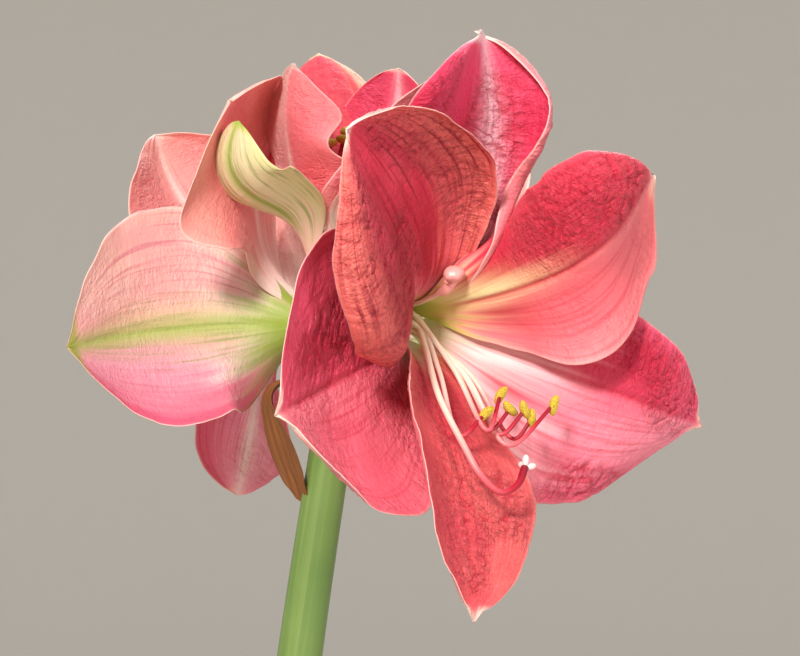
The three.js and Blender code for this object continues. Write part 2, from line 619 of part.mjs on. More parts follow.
// Pistil: a long style that ends in three short stigma lobes
function pistilSolid(route, frame, steps, sides, swell) {
  const start = new THREE.Vector3(0, 0, CORE_TOP + GAP + 0.05);
  const points = [start, new THREE.Vector3(0, 0, 8), ...route.map((p) => new THREE.Vector3(...p))];
  const curve = new THREE.CatmullRomCurve3(points, false, 'centripetal');
  let body = stem(curve, (u) => STYLE_RADIUS + 0.25 * ease(u, 0.9, 1), steps, sides, swell);
  const end = points[points.length - 1];
  const forward = curve.getTangentAt(1);
  const side = forward.clone().cross(new THREE.Vector3(0, 0, 1)).normalize();
  for (const turn of [90, 210, 330]) {
    const way = side.clone().applyAxisAngle(forward, rad(turn)).addScaledVector(forward, 0.9).normalize();
    const lobe = new THREE.SphereGeometry(1, 4, 4);
    lobe.scale(STIGMA_LOBE[0] + swell, STIGMA_LOBE[1] + swell, STIGMA_LOBE[2] + swell);
    lobe.applyQuaternion(new THREE.Quaternion().setFromUnitVectors(new THREE.Vector3(1, 0, 0), way));
    lobe.translate(...end.clone().addScaledVector(way, 1.9));
    body = body.add(solidOf(lobe));
  }
  return body.transform(frame.elements);
}

// Where a flower doesn't show its inside, its stamens and style stand near its axis
const innerStamens = (reach) => Array.from({ length: 6 }, (_, k) => {
  const turn = rad(60 * k + 20);
  return [
    [5 * Math.cos(turn), 4 * Math.sin(turn) - 5, reach * 0.75],
    [8 * Math.cos(turn), 7 * Math.sin(turn) - 2, reach + 3 * Math.cos(2 * turn)],
  ];
});
const INNER_REACH = { left: 52, upper: 40, back: 50 };
for (const [flower, frame] of Object.entries(frames)) {
  const front = flower === 'front';
  const reach = INNER_REACH[flower];
  const paths = front ? FRONT_STAMENS : innerStamens(reach);
  const route = front ? FRONT_STYLE : [[0, -4, reach * 0.5], [0, -7, reach * 0.95], [0, -3, reach * 1.2]];
  const [steps, sides] = front ? [7, 4] : [4, 3];
  const pistil = (swell) => pistilSolid(route, frame, steps + 2, sides, swell);
  const stamens = (swell) => stamenSolid(paths, frame, steps, sides, swell);
  place(`${flower}_pistil`, pistil(0), pistil(GAP), COLOURS.style, 0.5);
  place(`${flower}_stamens`, stamens(0), stamens(GAP), COLOURS.filament, 0.5);
}

// How finely each flower's petals are divided, along and across half their width
const PETAL_STEPS = { front: [11, 3], left: [8, 3], upper: [7, 3], back: [7, 2] };

// Petals: the inner whorl of each flower stands in front of its outer whorl of sepals
for (const [flower, description] of Object.entries(FLOWERS)) {
  const [rows, halves] = PETAL_STEPS[flower];
  for (const [name, petal] of Object.entries(description.petals)) {
    const outer = name.endsWith('sepal');
    const grid = inFrame(petalGrid(petal, outer ? SEPAL_RING : PETAL_RING, rows, halves), frames[flower]);
    const colour = outer ? COLOURS.sepal : COLOURS.petal;
    place(`${flower}_${name}`, blade(grid, petalThickness), blade(grid, petalThickness, GAP), colour, 0.55);
  }
}

// Sheath valves: dry papery blades that hang from the top of the flower stalk
VALVES.forEach((valve, k) => {
  const start = SCAPE_TOP.clone().add(new THREE.Vector3(0, 0, -VALVE_START));
  const grid = strapGrid(valve, start, RECEPTACLE_RADIUS + GAP + 0.5, 10, 2, 0.7);
  const sheet = (swell) => blade(grid, () => VALVE_THICKNESS, swell);
  place(`sheath_valve_${k + 1}`, sheet(0), sheet(GAP), COLOURS.husk, 0.8);
});

export default plant;
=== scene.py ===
from math import cos, pi, radians, sin

import bpy
import numpy as np
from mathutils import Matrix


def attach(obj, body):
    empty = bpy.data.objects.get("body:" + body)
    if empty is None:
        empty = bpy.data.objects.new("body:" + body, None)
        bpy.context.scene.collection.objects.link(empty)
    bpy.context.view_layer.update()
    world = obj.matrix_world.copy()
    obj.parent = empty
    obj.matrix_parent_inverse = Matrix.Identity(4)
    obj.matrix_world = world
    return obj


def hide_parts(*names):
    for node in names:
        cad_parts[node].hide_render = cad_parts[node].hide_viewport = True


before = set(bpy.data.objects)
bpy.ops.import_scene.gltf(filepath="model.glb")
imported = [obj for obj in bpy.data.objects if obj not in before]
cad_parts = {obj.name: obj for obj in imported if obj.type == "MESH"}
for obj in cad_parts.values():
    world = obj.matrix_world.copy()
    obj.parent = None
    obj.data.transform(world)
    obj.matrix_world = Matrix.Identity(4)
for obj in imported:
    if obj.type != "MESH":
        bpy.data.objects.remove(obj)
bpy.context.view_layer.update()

# View and light. The plant stands on a plain pale floor in soft studio light from the
# upper left, seen level with its flowers from about a metre away with a long lens.
eye = bpy.data.objects.new("camera", bpy.data.cameras.new("camera"))
bpy.context.scene.collection.objects.link(eye)
eye.location = (0.0576, -1.0, 0.536)
eye.rotation_euler = (pi / 2, 0, 0)
eye.data.lens = 125
eye.data.sensor_width = 36
bpy.context.scene.camera = eye
bpy.context.scene.view_settings.view_transform = "Standard"


def linear(code):
    """An sRGB hex colour as linear red, green, blue and a full alpha."""
    srgb = np.array([int(code[k:k + 2], 16) / 255 for k in (1, 3, 5)])
    light = np.where(srgb <= 0.04045, srgb / 12.92, ((srgb + 0.055) / 1.055) ** 2.4)
    return (*light.tolist(), 1.0)


def add(tree, kind, inputs=None, **settings):
    """Adds one shader node with its settings. Inputs are by name or number: a value, an sRGB
    hex colour or another node's output."""
    node = tree.nodes.new("ShaderNode" + kind)
    for key, value in settings.items():
        setattr(node, key, value)
    for key, value in (inputs or {}).items():
        if isinstance(value, bpy.types.NodeSocket):
            tree.links.new(value, node.inputs[key])
        else:
            node.inputs[key].default_value = linear(value) if isinstance(value, str) else value
    return node


def new_finish(name):
    """An empty material of that name, its node tree and its output node."""
    finish = bpy.data.materials.new(name)
    finish.use_nodes = True
    finish.node_tree.nodes.clear()
    return finish, finish.node_tree, finish.node_tree.nodes.new("ShaderNodeOutputMaterial")


def lamp(name, place, aim, width, height, watts, colour):
    """A rectangular soft light at a place, turned towards the point it aims at."""
    light = bpy.data.objects.new(name, bpy.data.lights.new(name, "AREA"))
    bpy.context.scene.collection.objects.link(light)
    light.data.shape = "RECTANGLE"
    light.data.size, light.data.size_y = width, height
    light.data.energy = watts
    light.data.color = linear(colour)[:3]
    light.location = place
    way = [a - b for a, b in zip(aim, place)]
    flat = (way[0] ** 2 + way[1] ** 2) ** 0.5
    light.rotation_euler = (np.arctan2(flat, -way[2]), 0, np.arctan2(way[1], way[0]) - pi / 2)


lamp("key", (-0.42, -1.55, 1.45), (0.05, 0, 0.52), 0.3, 0.3, 42, "#FFF6EC")
lamp("fill", (1.3, -1.5, 0.8), (0.05, 0, 0.5), 0.6, 0.6, 12, "#FFF8F2")
lamp("rim", (0.5, 1.6, 1.7), (0.05, 0, 0.5), 0.9, 0.9, 13, "#FFFFFF")
sky = bpy.data.worlds.new("studio")
bpy.context.scene.world = sky
sky.use_nodes = True
sky.node_tree.nodes["Background"].inputs["Color"].default_value = linear("#EDEBE8")
sky.node_tree.nodes["Background"].inputs["Strength"].default_value = 0.9

# The floor is a flat disk that bends up in a cove to a low wall far round the plant.
FLOOR_HUB, FLOOR_REACH, COVE_RADIUS, COVE_TOP, FLOOR_SIDES = 0.02, 3.2, 1.6, 3.4, 72
bend = np.linspace(0, pi / 2, 13)
cove = np.concatenate([
    [[FLOOR_HUB, 0]],
    np.stack([FLOOR_REACH + COVE_RADIUS * np.sin(bend), COVE_RADIUS * (1 - np.cos(bend))], -1),
    [[FLOOR_REACH + COVE_RADIUS, COVE_TOP]]])
around = 2 * pi * np.arange(FLOOR_SIDES) / FLOOR_SIDES
rows = np.stack([cove[:, 0, None] * np.cos(around), cove[:, 0, None] * np.sin(around),
                 np.repeat(cove[:, 1, None], FLOOR_SIDES, 1)], -1)
i, j = np.meshgrid(np.arange(len(cove) - 1), np.arange(FLOOR_SIDES), indexing="ij")
nj = (j + 1) % FLOOR_SIDES
quads = np.stack([i * FLOOR_SIDES + j, i * FLOOR_SIDES + nj,
                  (i + 1) * FLOOR_SIDES + nj, (i + 1) * FLOOR_SIDES + j], -1).reshape(-1, 4)
floor_mesh = bpy.data.meshes.new("floor")
floor_mesh.from_pydata(rows.reshape(-1, 3).tolist(), [], [list(range(FLOOR_SIDES))] + quads.tolist())
floor_mesh.polygons.foreach_set("use_smooth", [True] * len(floor_mesh.polygons))
floor = bpy.data.objects.new("floor", floor_mesh)
bpy.context.scene.collection.objects.link(floor)
finish, tree, out = new_finish("plain pale floor")
paint = add(tree, "BsdfPrincipled", {"Base Color": "#CFCBC5", "Roughness": 0.85})
tree.links.new(paint.outputs[0], out.inputs[0])
floor_mesh.materials.append(finish)


# Pot. A pressed clay flowerpot, unglazed terracotta: a tapering body under a thick rim
# band, open at the top, with three drain holes in its flat foot.
POT_HEIGHT, POT_RIM_RADIUS, POT_FOOT_RADIUS, POT_WALL = 135, 78, 52, 6
RIM_BAND, RIM_STEP, POT_FLOOR = 30, 4, 8
DRAIN_HOLES, DRAIN_RADIUS, DRAIN_RING = 3, 4.5, 24


def ease(x, low, high):
    """Smoothstep: 0 below low, 1 above high, and 3t^2 - 2t^3 in between."""
    t = np.clip((x - low) / (high - low), 0.0, 1.0)
    return t * t * (3.0 - 2.0 * t)


def cloud(x, y, seed, octaves=1):
    """A smooth random field from 0 to 1: seeded values on a lattice of whole numbers, blended
    by smoothstep between them. Each further octave has half the size and half the weight."""
    table = np.random.default_rng(seed).random((61, 67))
    total, weights = 0.0, 0.0
    for k in range(octaves):
        gx, gy = x * 2 ** k + 17.3 * k, y * 2 ** k + 9.1 * k
        i, j = np.floor(gx).astype(int), np.floor(gy).astype(int)
        fx, fy = ease(gx - i, 0, 1), ease(gy - j, 0, 1)
        low = table[i % 61, j % 67] * (1 - fx) + table[(i + 1) % 61, j % 67] * fx
        high = table[i % 61, (j + 1) % 67] * (1 - fx) + table[(i + 1) % 61, (j + 1) % 67] * fx
        total = total + (low * (1 - fy) + high * fy) / 2 ** k
        weights += 1 / 2 ** k
    return total / weights


def new_piece(name, points, quads, triangles=(), spots=None, marks=None, kinds=None):
    """A smooth-shaded mesh object from arrays: points in mm, faces as rows of point numbers,
    spots as a UV place for each point, marks as named values of each point (vectors or
    colours), and kinds as the material number of each face."""
    quads = np.asarray(quads, np.int32).reshape(-1, 4)
    triangles = np.asarray(triangles, np.int32).reshape(-1, 3)
    corners = np.concatenate([quads.ravel(), triangles.ravel()])
    starts = np.concatenate([4 * np.arange(len(quads)), 4 * len(quads) + 3 * np.arange(len(triangles))])
    mesh = bpy.data.meshes.new(name)
    mesh.vertices.add(len(points))
    mesh.vertices.foreach_set("co", (np.asarray(points, np.float64) / 1000).astype(np.float32).ravel())
    mesh.loops.add(len(corners))
    mesh.loops.foreach_set("vertex_index", corners)
    mesh.polygons.add(len(starts))
    mesh.polygons.foreach_set("loop_start", starts.astype(np.int32))
    mesh.update(calc_edges=True)
    mesh.polygons.foreach_set("use_smooth", np.ones(len(starts), bool))
    if kinds is not None:
        mesh.polygons.foreach_set("material_index", np.asarray(kinds, np.int32))
    if spots is not None:
        layer = mesh.uv_layers.new(name="UVMap")
        layer.data.foreach_set("uv", np.asarray(spots, np.float32)[corners].ravel())
    for key, values in (marks or {}).items():
        values = np.asarray(values, np.float32)
        colour = values.shape[1] == 4
        mark = mesh.attributes.new(key, "FLOAT_COLOR" if colour else "FLOAT_VECTOR", "POINT")
        mark.data.foreach_set("color" if colour else "vector", values.ravel())
    piece = bpy.data.objects.new(name, mesh)
    bpy.context.scene.collection.objects.link(piece)
    return piece


def turned(profile, sides):
    """Points and quads of a profile of (radius, height) rows turned about Z: x = r cos a,
    y = r sin a. The profile is a closed loop, with its solid on its left as it runs."""
    profile = np.asarray(profile, float)
    angle = 2 * pi * np.arange(sides) / sides
    points = np.stack([
        profile[:, 0, None] * np.cos(angle), profile[:, 0, None] * np.sin(angle),
        np.repeat(profile[:, 1, None], sides, 1)], -1)
    i, j = np.meshgrid(np.arange(len(profile)), np.arange(sides), indexing="ij")
    ni, nj = (i + 1) % len(profile), (j + 1) % sides
    quads = np.stack([i * sides + j, i * sides + nj, ni * sides + nj, ni * sides + j], -1)
    return points, quads.reshape(-1, 4)


def rounded(corners, steps, closed=True):
    """A profile with each corner (r, z, radius) rounded by a curve that starts and ends that
    far from it: the quadratic Bezier of the two cut points and the corner."""
    spots = np.array([c[:2] for c in corners], float)
    rows = []
    for k, (r, z, cut) in enumerate(corners):
        if cut == 0 or (not closed and k in (0, len(corners) - 1)):
            rows.append([(r, z)])
            continue
        before, after = spots[k - 1] - spots[k], spots[(k + 1) % len(spots)] - spots[k]
        start = spots[k] + before / np.linalg.norm(before) * cut
        end = spots[k] + after / np.linalg.norm(after) * cut
        t = np.linspace(0, 1, steps)[:, None]
        rows.append((1 - t) ** 2 * start + 2 * t * (1 - t) * spots[k] + t ** 2 * end)
    return np.concatenate([np.asarray(row, float) for row in rows])


def densely(profile, longest, closed=True):
    """The same profile with its long straight stretches divided into shorter ones."""
    ends = np.roll(profile, -1, 0) if closed else profile[1:]
    rows = []
    for a, b in zip(profile, ends):
        count = max(int(np.ceil(np.linalg.norm(b - a) / longest)), 1)
        rows.append(a + (b - a) * (np.arange(count) / count)[:, None])
    if not closed:
        rows.append(profile[-1:])
    return np.concatenate(rows)


BAND_FOOT = POT_HEIGHT - RIM_BAND
RIM_INSIDE = POT_RIM_RADIUS - RIM_STEP - POT_WALL
FLOOR_RADIUS = POT_FOOT_RADIUS - POT_WALL
pot_profile = densely(rounded([
    (0.01, 0, 0), (POT_FOOT_RADIUS, 0, 1.5), (POT_RIM_RADIUS - RIM_STEP, BAND_FOOT, 0.6),
    (POT_RIM_RADIUS, BAND_FOOT + 0.8, 1.6), (POT_RIM_RADIUS, POT_HEIGHT, 2.4), (RIM_INSIDE, POT_HEIGHT, 2.2),
    (RIM_INSIDE, BAND_FOOT, 4), (FLOOR_RADIUS + 2, POT_FLOOR, 4), (0.01, POT_FLOOR, 0),
], 5), 5)
points, quads = turned(pot_profile, 144)
turn = np.arctan2(points[..., 1], points[..., 0])
wobble = 0.25 * np.sin(2 * turn + 0.6) + 0.12 * np.sin(5 * turn + points[..., 2] / 23)
ring = 0.10 * np.sin(points[..., 2] / 0.95) * ease(points[..., 2], 2, 8)
radius = np.hypot(points[..., 0], points[..., 1])
outside = ease(radius, 40, 50)
points[..., :2] *= (1 + (wobble + ring) * outside / np.maximum(radius, 1))[..., None]
pot = new_piece("pot_terracotta", points.reshape(-1, 3), quads)
for k in range(DRAIN_HOLES):
    way = 2 * pi * k / DRAIN_HOLES
    hole_points, hole_quads = turned([(0.01, -6), (DRAIN_RADIUS, -6), (DRAIN_RADIUS, 20), (0.01, 20)], 24)
    hole_points = hole_points.reshape(-1, 3) + (DRAIN_RING * cos(way), DRAIN_RING * sin(way), 0)
    hole = new_piece("drain_cut", hole_points, hole_quads)
    cut = pot.modifiers.new("drain", "BOOLEAN")
    cut.operation, cut.solver, cut.object = "DIFFERENCE", "EXACT", hole
    done = bpy.data.meshes.new_from_object(pot.evaluated_get(bpy.context.evaluated_depsgraph_get()))
    pot.modifiers.clear()
    pot.data = done
    bpy.data.objects.remove(hole)
pot.data.name = "pot_terracotta"
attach(pot, "root")
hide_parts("pot")

# Terracotta: matt, chalky orange clay, mottled by the kiln, with fine sand in its skin and a
# pale bloom of lime in patches.
finish, tree, out = new_finish("unglazed terracotta")
place = add(tree, "TexCoord")
mottle = add(tree, "TexNoise", {"Vector": place.outputs["Object"], "Scale": 34, "Detail": 5})
sand = add(tree, "TexNoise", {"Vector": place.outputs["Object"], "Scale": 1400, "Detail": 3})
lime = add(tree, "TexNoise", {
    "Vector": place.outputs["Object"], "Scale": 16, "Detail": 7, "Roughness": 0.62})
clay = add(tree, "Mix", {
    0: mottle.outputs["Fac"], 6: "#9C5232", 7: "#C27A52"}, data_type="RGBA")
patches = add(tree, "MapRange", {
    "Value": lime.outputs["Fac"], "From Min": 0.52, "From Max": 0.72, "To Min": 0, "To Max": 0.55})
bloomed = add(tree, "Mix", {
    0: patches.outputs[0], 6: clay.outputs[2], 7: "#D8B79C"}, data_type="RGBA")
specks = add(tree, "MapRange", {
    "Value": sand.outputs["Fac"], "From Min": 0.62, "From Max": 0.7, "To Min": 0, "To Max": 0.35})
grainy = add(tree, "Mix", {
    0: specks.outputs[0], 6: bloomed.outputs[2], 7: "#6E3A24"}, data_type="RGBA")
rough = add(tree, "Bump", {"Height": sand.outputs["Fac"], "Strength": 0.35, "Distance": 0.0004})
surface = add(tree, "BsdfPrincipled", {
    "Base Color": grainy.outputs[2], "Roughness": 0.88, "IOR": 1.5, "Normal": rough.outputs[0]})
tree.links.new(surface.outputs[0], out.inputs[0])
pot.data.materials.clear()
pot.data.materials.append(finish)


# Bulb. An onion-like bulb in dry papery brown scales, half out of the soil, with a pale
# neck that the leaves and the flower stalk grow out of, and roots from its foot.
BULB_RADIUS, BULB_FOOT, BULB_SHOULDER, NECK_RADIUS, NECK_TOP, ROOTS = 45, 68, 138, 21, 176, 5


def smooth_path(corners, count):
    """Points evenly spaced along the centripetal Catmull-Rom curve through the corners: on
    each stretch a cubic whose end slopes come from the neighbours, timed by the square root
    of their distances."""
    p = np.asarray(corners, float)
    p = np.vstack([2 * p[0] - p[1], p, 2 * p[-1] - p[-2]])
    rows = []
    t = np.linspace(0, 1, 60)[:, None]
    for a, b, c, d in zip(p[:-3], p[1:-2], p[2:-1], p[3:]):
        x, y, z = (max(np.linalg.norm(q - r), 1e-4) ** 0.5 for q, r in ((b, a), (c, b), (d, c)))
        m0 = ((b - a) / x - (c - a) / (x + y) + (c - b) / y) * y
        m1 = ((c - b) / y - (d - b) / (y + z) + (d - c) / z) * y
        rows.append((2 * t ** 3 - 3 * t ** 2 + 1) * b + (t ** 3 - 2 * t ** 2 + t) * m0
                    + (3 * t ** 2 - 2 * t ** 3) * c + (t ** 3 - t ** 2) * m1)
    path = np.vstack([row[:-1] for row in rows[:-1]] + [rows[-1]])
    far = np.concatenate([[0], np.cumsum(np.linalg.norm(np.diff(path, axis=0), axis=1))])
    even = np.linspace(0, far[-1], count)
    return np.stack([np.interp(even, far, path[:, k]) for k in range(3)], -1)


def ring_faces(rings, sides):
    """Quads between rings of points, and the fans that close the first and last ring. The two
    poles are numbered after all the rings."""
    i, j = np.meshgrid(np.arange(rings - 1), np.arange(sides), indexing="ij")
    nj = (j + 1) % sides
    quads = np.stack([i * sides + j, i * sides + nj, (i + 1) * sides + nj, (i + 1) * sides + j], -1)
    j = np.arange(sides)
    nj = (j + 1) % sides
    first, last = rings * sides, (rings - 1) * sides
    fans = np.concatenate([np.stack([np.full(sides, first), nj, j], -1),
                           np.stack([np.full(sides, first + 1), last + j, last + nj], -1)])
    return quads.reshape(-1, 4), fans


def tube(path, radius, sides, shape=None):
    """A round closed stem along a path. Ring i is path[i] + r(i) (N cos a + B sin a), with N
    and B carried along without twist; shape scales r by a function of (i, a). The ends
    are closed by fans. Returns points, quads, triangles and the (a, u) place of each."""
    path = np.asarray(path, float)
    count = len(path)
    tangent = np.gradient(path, axis=0)
    tangent /= np.linalg.norm(tangent, axis=1)[:, None]
    normal = np.zeros_like(path)
    start = np.cross(tangent[0], (0.3, 0.9, 0.2))
    normal[0] = start / np.linalg.norm(start)
    for k in range(1, count):
        carried = normal[k - 1] - tangent[k] * (normal[k - 1] @ tangent[k])
        normal[k] = carried / np.linalg.norm(carried)
    side = np.cross(tangent, normal)
    angle = 2 * pi * np.arange(sides) / sides
    r = np.repeat(np.asarray(radius, float)[:, None], sides, 1)
    if shape is not None:
        r = r * shape(np.arange(count)[:, None] / (count - 1), angle[None, :])
    points = path[:, None] + r[..., None] * (
        normal[:, None] * np.cos(angle)[None, :, None] + side[:, None] * np.sin(angle)[None, :, None])
    quads, fans = ring_faces(count, sides)
    u = np.repeat(np.linspace(0, 1, count)[:, None], sides, 1)
    a = np.repeat((angle / (2 * pi))[None], count, 0)
    spots = np.concatenate([np.stack([a, u], -1).reshape(-1, 2), [[0.5, 0], [0.5, 1]]])
    points = np.concatenate([points.reshape(-1, 3), path[:1], path[-1:]])
    return points, quads, fans, spots


def together(parts):
    """Several (points, quads, triangles, spots) as one set, with their numbers moved on."""
    sizes = np.cumsum([0] + [len(part[0]) for part in parts[:-1]])
    return (np.concatenate([part[0] for part in parts]),
            np.concatenate([part[1] + n for part, n in zip(parts, sizes)]),
            np.concatenate([part[2] + n for part, n in zip(parts, sizes)]),
            np.concatenate([part[3] for part in parts]))


bulb_profile = densely(rounded([
    (0.01, BULB_FOOT, 0), (16, BULB_FOOT + 1, 4), (30, BULB_FOOT + 8, 6), (41, BULB_FOOT + 22, 8),
    (BULB_RADIUS, BULB_FOOT + 38, 7), (44, BULB_FOOT + 52, 7), (38, BULB_SHOULDER - 2, 6),
    (30, BULB_SHOULDER + 9, 6), (24, BULB_SHOULDER + 19, 5), (NECK_RADIUS, BULB_SHOULDER + 29, 4),
    (NECK_RADIUS - 0.5, NECK_TOP - 2, 1), (NECK_RADIUS - 3, NECK_TOP, 1), (0.01, NECK_TOP, 0),
], 5, closed=False), 2.4, closed=False)
points, quads = turned(bulb_profile, 132)
quads = quads[:132 * (len(bulb_profile) - 1)]
turn = np.arctan2(points[..., 1], points[..., 0])
height = points[..., 2]
radius = np.hypot(points[..., 0], points[..., 1])
scales = 0.5 * np.sin(9 * turn) * 1.2 + 0.4 * np.sin(4 * turn + 1)
edges = cloud(turn * 3.2 / pi * 3 + 20, height / 34, 5, 2)
flakes = 1.1 * ease(edges, 0.5, 0.53) - 0.5
fibres = 0.25 * cloud(turn * 40 / pi + 50, height / 30, 6, 2)
flaking = (flakes + fibres) * ease(height, BULB_FOOT + 10, BULB_FOOT + 30)
swell = (scales * 0.8 + flaking) * ease(radius, 6, 22)
points[..., :2] *= (1 + swell / np.maximum(radius, 1))[..., None]
u = (height - BULB_FOOT) / (NECK_TOP - BULB_FOOT)
spots = np.stack([(turn / (2 * pi)) % 1, u], -1).reshape(-1, 2)
bulb_parts = [(points.reshape(-1, 3), quads, np.zeros((0, 3), int), spots)]
state = 7
draws = []
for _ in range(3 * ROOTS):
    state = state * 16807 % 2147483647
    draws.append(state / 2147483647)
for k in range(ROOTS):
    way = 2 * pi * (k + 0.5 * draws[3 * k]) / ROOTS
    reach, drop = 22 + 12 * draws[3 * k + 1], 34 + 14 * draws[3 * k + 2]
    a, b, c = ((r * cos(way), r * sin(way), BULB_FOOT + z) for r, z in ((12, 6), (16, -18), (reach, -drop)))
    t = np.linspace(0, 1, 14)[:, None]
    path = (1 - t) ** 2 * np.array(a) + 2 * t * (1 - t) * np.array(b) + t ** 2 * np.array(c)
    bulb_parts.append(tube(path, 2.1 - 1.1 * t[:, 0], 8))
points, quads, fans, spots = together(bulb_parts)
bulb = new_piece("bulb_scales", points, quads, fans, spots)
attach(bulb, "root")
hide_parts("bulb")

# Dry tunic: thin brown papery scales with fine fibres that run up and down, mid brown in
# blotches, and green-white at the neck where the leaves are still fresh.
finish, tree, out = new_finish("dry papery bulb tunic")
place = add(tree, "UVMap", uv_map="UVMap")
drawn = add(tree, "Mapping", {"Vector": place.outputs[0], "Scale": (190, 7, 1)})
fibre = add(tree, "TexNoise", {"Vector": drawn.outputs[0], "Scale": 1, "Detail": 5, "Distortion": 0.5})
solid = add(tree, "TexCoord")
blotch = add(tree, "TexNoise", {"Vector": solid.outputs["Object"], "Scale": 60, "Detail": 4})
brown = add(tree, "Mix", {
    0: fibre.outputs["Fac"], 6: "#4A2812", 7: "#A06A3A"}, data_type="RGBA")
shade = add(tree, "MapRange", {
    "Value": blotch.outputs["Fac"], "From Min": 0.4, "From Max": 0.65, "To Min": 0, "To Max": 0.6})
tanned = add(tree, "Mix", {
    0: shade.outputs[0], 6: brown.outputs[2], 7: "#8A5A33"}, data_type="RGBA")
split = add(tree, "SeparateXYZ", {0: place.outputs[0]})
fresh = add(tree, "MapRange", {
    "Value": split.outputs[1], "From Min": 0.8, "From Max": 1, "To Min": 0, "To Max": 0.8})
necked = add(tree, "Mix", {
    0: fresh.outputs[0], 6: tanned.outputs[2], 7: "#B9B27C"}, data_type="RGBA")
lined = add(tree, "Bump", {"Height": fibre.outputs["Fac"], "Strength": 0.5, "Distance": 0.0006})
surface = add(tree, "BsdfPrincipled", {
    "Base Color": necked.outputs[2], "Roughness": 0.6, "IOR": 1.45, "Normal": lined.outputs[0]})
tree.links.new(surface.outputs[0], out.inputs[0])
bulb.data.materials.append(finish)


# Soil. Dark peaty potting soil that fills the pot round the bulb: crumbs of a few
# millimetres, heaped a little towards the bulb.
SOIL_TOP = 118
SOIL_GAP = 0.35
rings, sides = 84, 216
angle = 2 * pi * np.arange(sides) / sides
bulb_at_soil = np.interp(SOIL_TOP + 3, bulb_profile[:, 1], bulb_profile[:, 0]) + 1.4
r = np.linspace(bulb_at_soil, RIM_INSIDE - SOIL_GAP, rings)[:, None] * np.ones(sides)
x, y = r * np.cos(angle), r * np.sin(angle)
z = SOIL_TOP + 2.4 - 0.05 * (r - bulb_at_soil)
z = z + 0.9 * np.sin(x / 5.3) * np.cos(y / 6.1) + 0.6 * np.sin(x / 2.9 + y / 3.7)
inner = ease(r, bulb_at_soil, bulb_at_soil + 3) * (1 - 0.7 * ease(r, RIM_INSIDE - 3, RIM_INSIDE))
crumbs = 1.7 * cloud(x / 4.2 + 60, y / 4.2 + 60, 11) ** 1.5 + 1.1 * cloud(x / 1.9 + 90, y / 1.9 + 90, 12)
z = z + (crumbs - 1.2) * inner
top = np.stack([x, y, z], -1)
rows = []
for radius, height in ((RIM_INSIDE - SOIL_GAP - 0.1, BAND_FOOT), (FLOOR_RADIUS + 2.5, POT_FLOOR + 3),
                       (FLOOR_RADIUS - 1, POT_FLOOR + SOIL_GAP), (8, POT_FLOOR + SOIL_GAP)):
    rows.append(np.stack([radius * np.cos(angle), radius * np.sin(angle), np.full(sides, height)], -1))
for radius, height in ((8, BULB_FOOT - 4), (34, BULB_FOOT + 4), (48, BULB_FOOT + 28), (48, BULB_FOOT + 44)):
    rows.append(np.stack([radius * np.cos(angle), radius * np.sin(angle), np.full(sides, height)], -1))
points = np.concatenate([top, np.stack(rows)])
i, j = np.meshgrid(np.arange(len(points)), np.arange(sides), indexing="ij")
ni, nj = (i + 1) % len(points), (j + 1) % sides
quads = np.stack([i * sides + j, ni * sides + j, ni * sides + nj, i * sides + nj], -1).reshape(-1, 4)
soil = new_piece("soil_crumbs", points.reshape(-1, 3), quads)
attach(soil, "root")
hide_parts("potting_soil")

# Peat: nearly black brown crumbs with lighter fibres, dull all over.
finish, tree, out = new_finish("damp peat")
place = add(tree, "TexCoord")
crumb = add(tree, "TexVoronoi", {"Vector": place.outputs["Object"], "Scale": 420})
fine = add(tree, "TexNoise", {"Vector": place.outputs["Object"], "Scale": 1100, "Detail": 4})
tint = add(tree, "TexNoise", {"Vector": place.outputs["Object"], "Scale": 170, "Detail": 4})
dark = add(tree, "Mix", {
    0: tint.outputs["Fac"], 6: "#17100B", 7: "#4A3324"}, data_type="RGBA")
bits = add(tree, "MapRange", {
    "Value": fine.outputs["Fac"], "From Min": 0.6, "From Max": 0.72, "To Min": 0, "To Max": 0.5})
flecked = add(tree, "Mix", {
    0: bits.outputs[0], 6: dark.outputs[2], 7: "#7A5B41"}, data_type="RGBA")
height = add(tree, "Math", {0: crumb.outputs["Distance"], 1: fine.outputs["Fac"]}, operation="ADD")
lumpy = add(tree, "Bump", {"Height": height.outputs[0], "Strength": 0.8, "Distance": 0.0012})
surface = add(tree, "BsdfPrincipled", {
    "Base Color": flecked.outputs[2], "Roughness": 0.95, "Normal": lumpy.outputs[0]})
tree.links.new(surface.outputs[0], out.inputs[0])
soil.data.materials.append(finish)


# Flower stalk, or scape: one thick hollow stem, smooth and faintly two-edged, that leans
# and widens at the top where the flowers branch. The pedicels below carry on its finish.
SCAPE_FOOT, SCAPE_BEND, SCAPE_TOP = np.array([-1, 0, 156]), np.array([1, 0, 300]), np.array([35, 0, 507])
SCAPE_FOOT_RADIUS, SCAPE_TOP_RADIUS, RECEPTACLE_RADIUS = 10.5, 7.4, 10.4
fine_t = np.linspace(0, 1, 400)[:, None]
curve = (1 - fine_t) ** 2 * SCAPE_FOOT + 2 * fine_t * (1 - fine_t) * SCAPE_BEND + fine_t ** 2 * SCAPE_TOP
far = np.concatenate([[0], np.cumsum(np.linalg.norm(np.diff(curve, axis=0), axis=1))])
even = np.linspace(0, far[-1], 90)
path = np.stack([np.interp(even, far, curve[:, k]) for k in range(3)], -1)
u = np.linspace(0, 1, 90)
radius = SCAPE_FOOT_RADIUS + (SCAPE_TOP_RADIUS - SCAPE_FOOT_RADIUS) * u ** 0.8
radius = radius + (RECEPTACLE_RADIUS - SCAPE_TOP_RADIUS) * ease(u, 0.95, 1)
parts = tube(path, radius, 40, lambda u, a: 1 + 0.012 * np.cos(2 * a) + 0.004 * np.sin(11 * a + 2 * u))
scape = new_piece("scape_smooth", *parts)
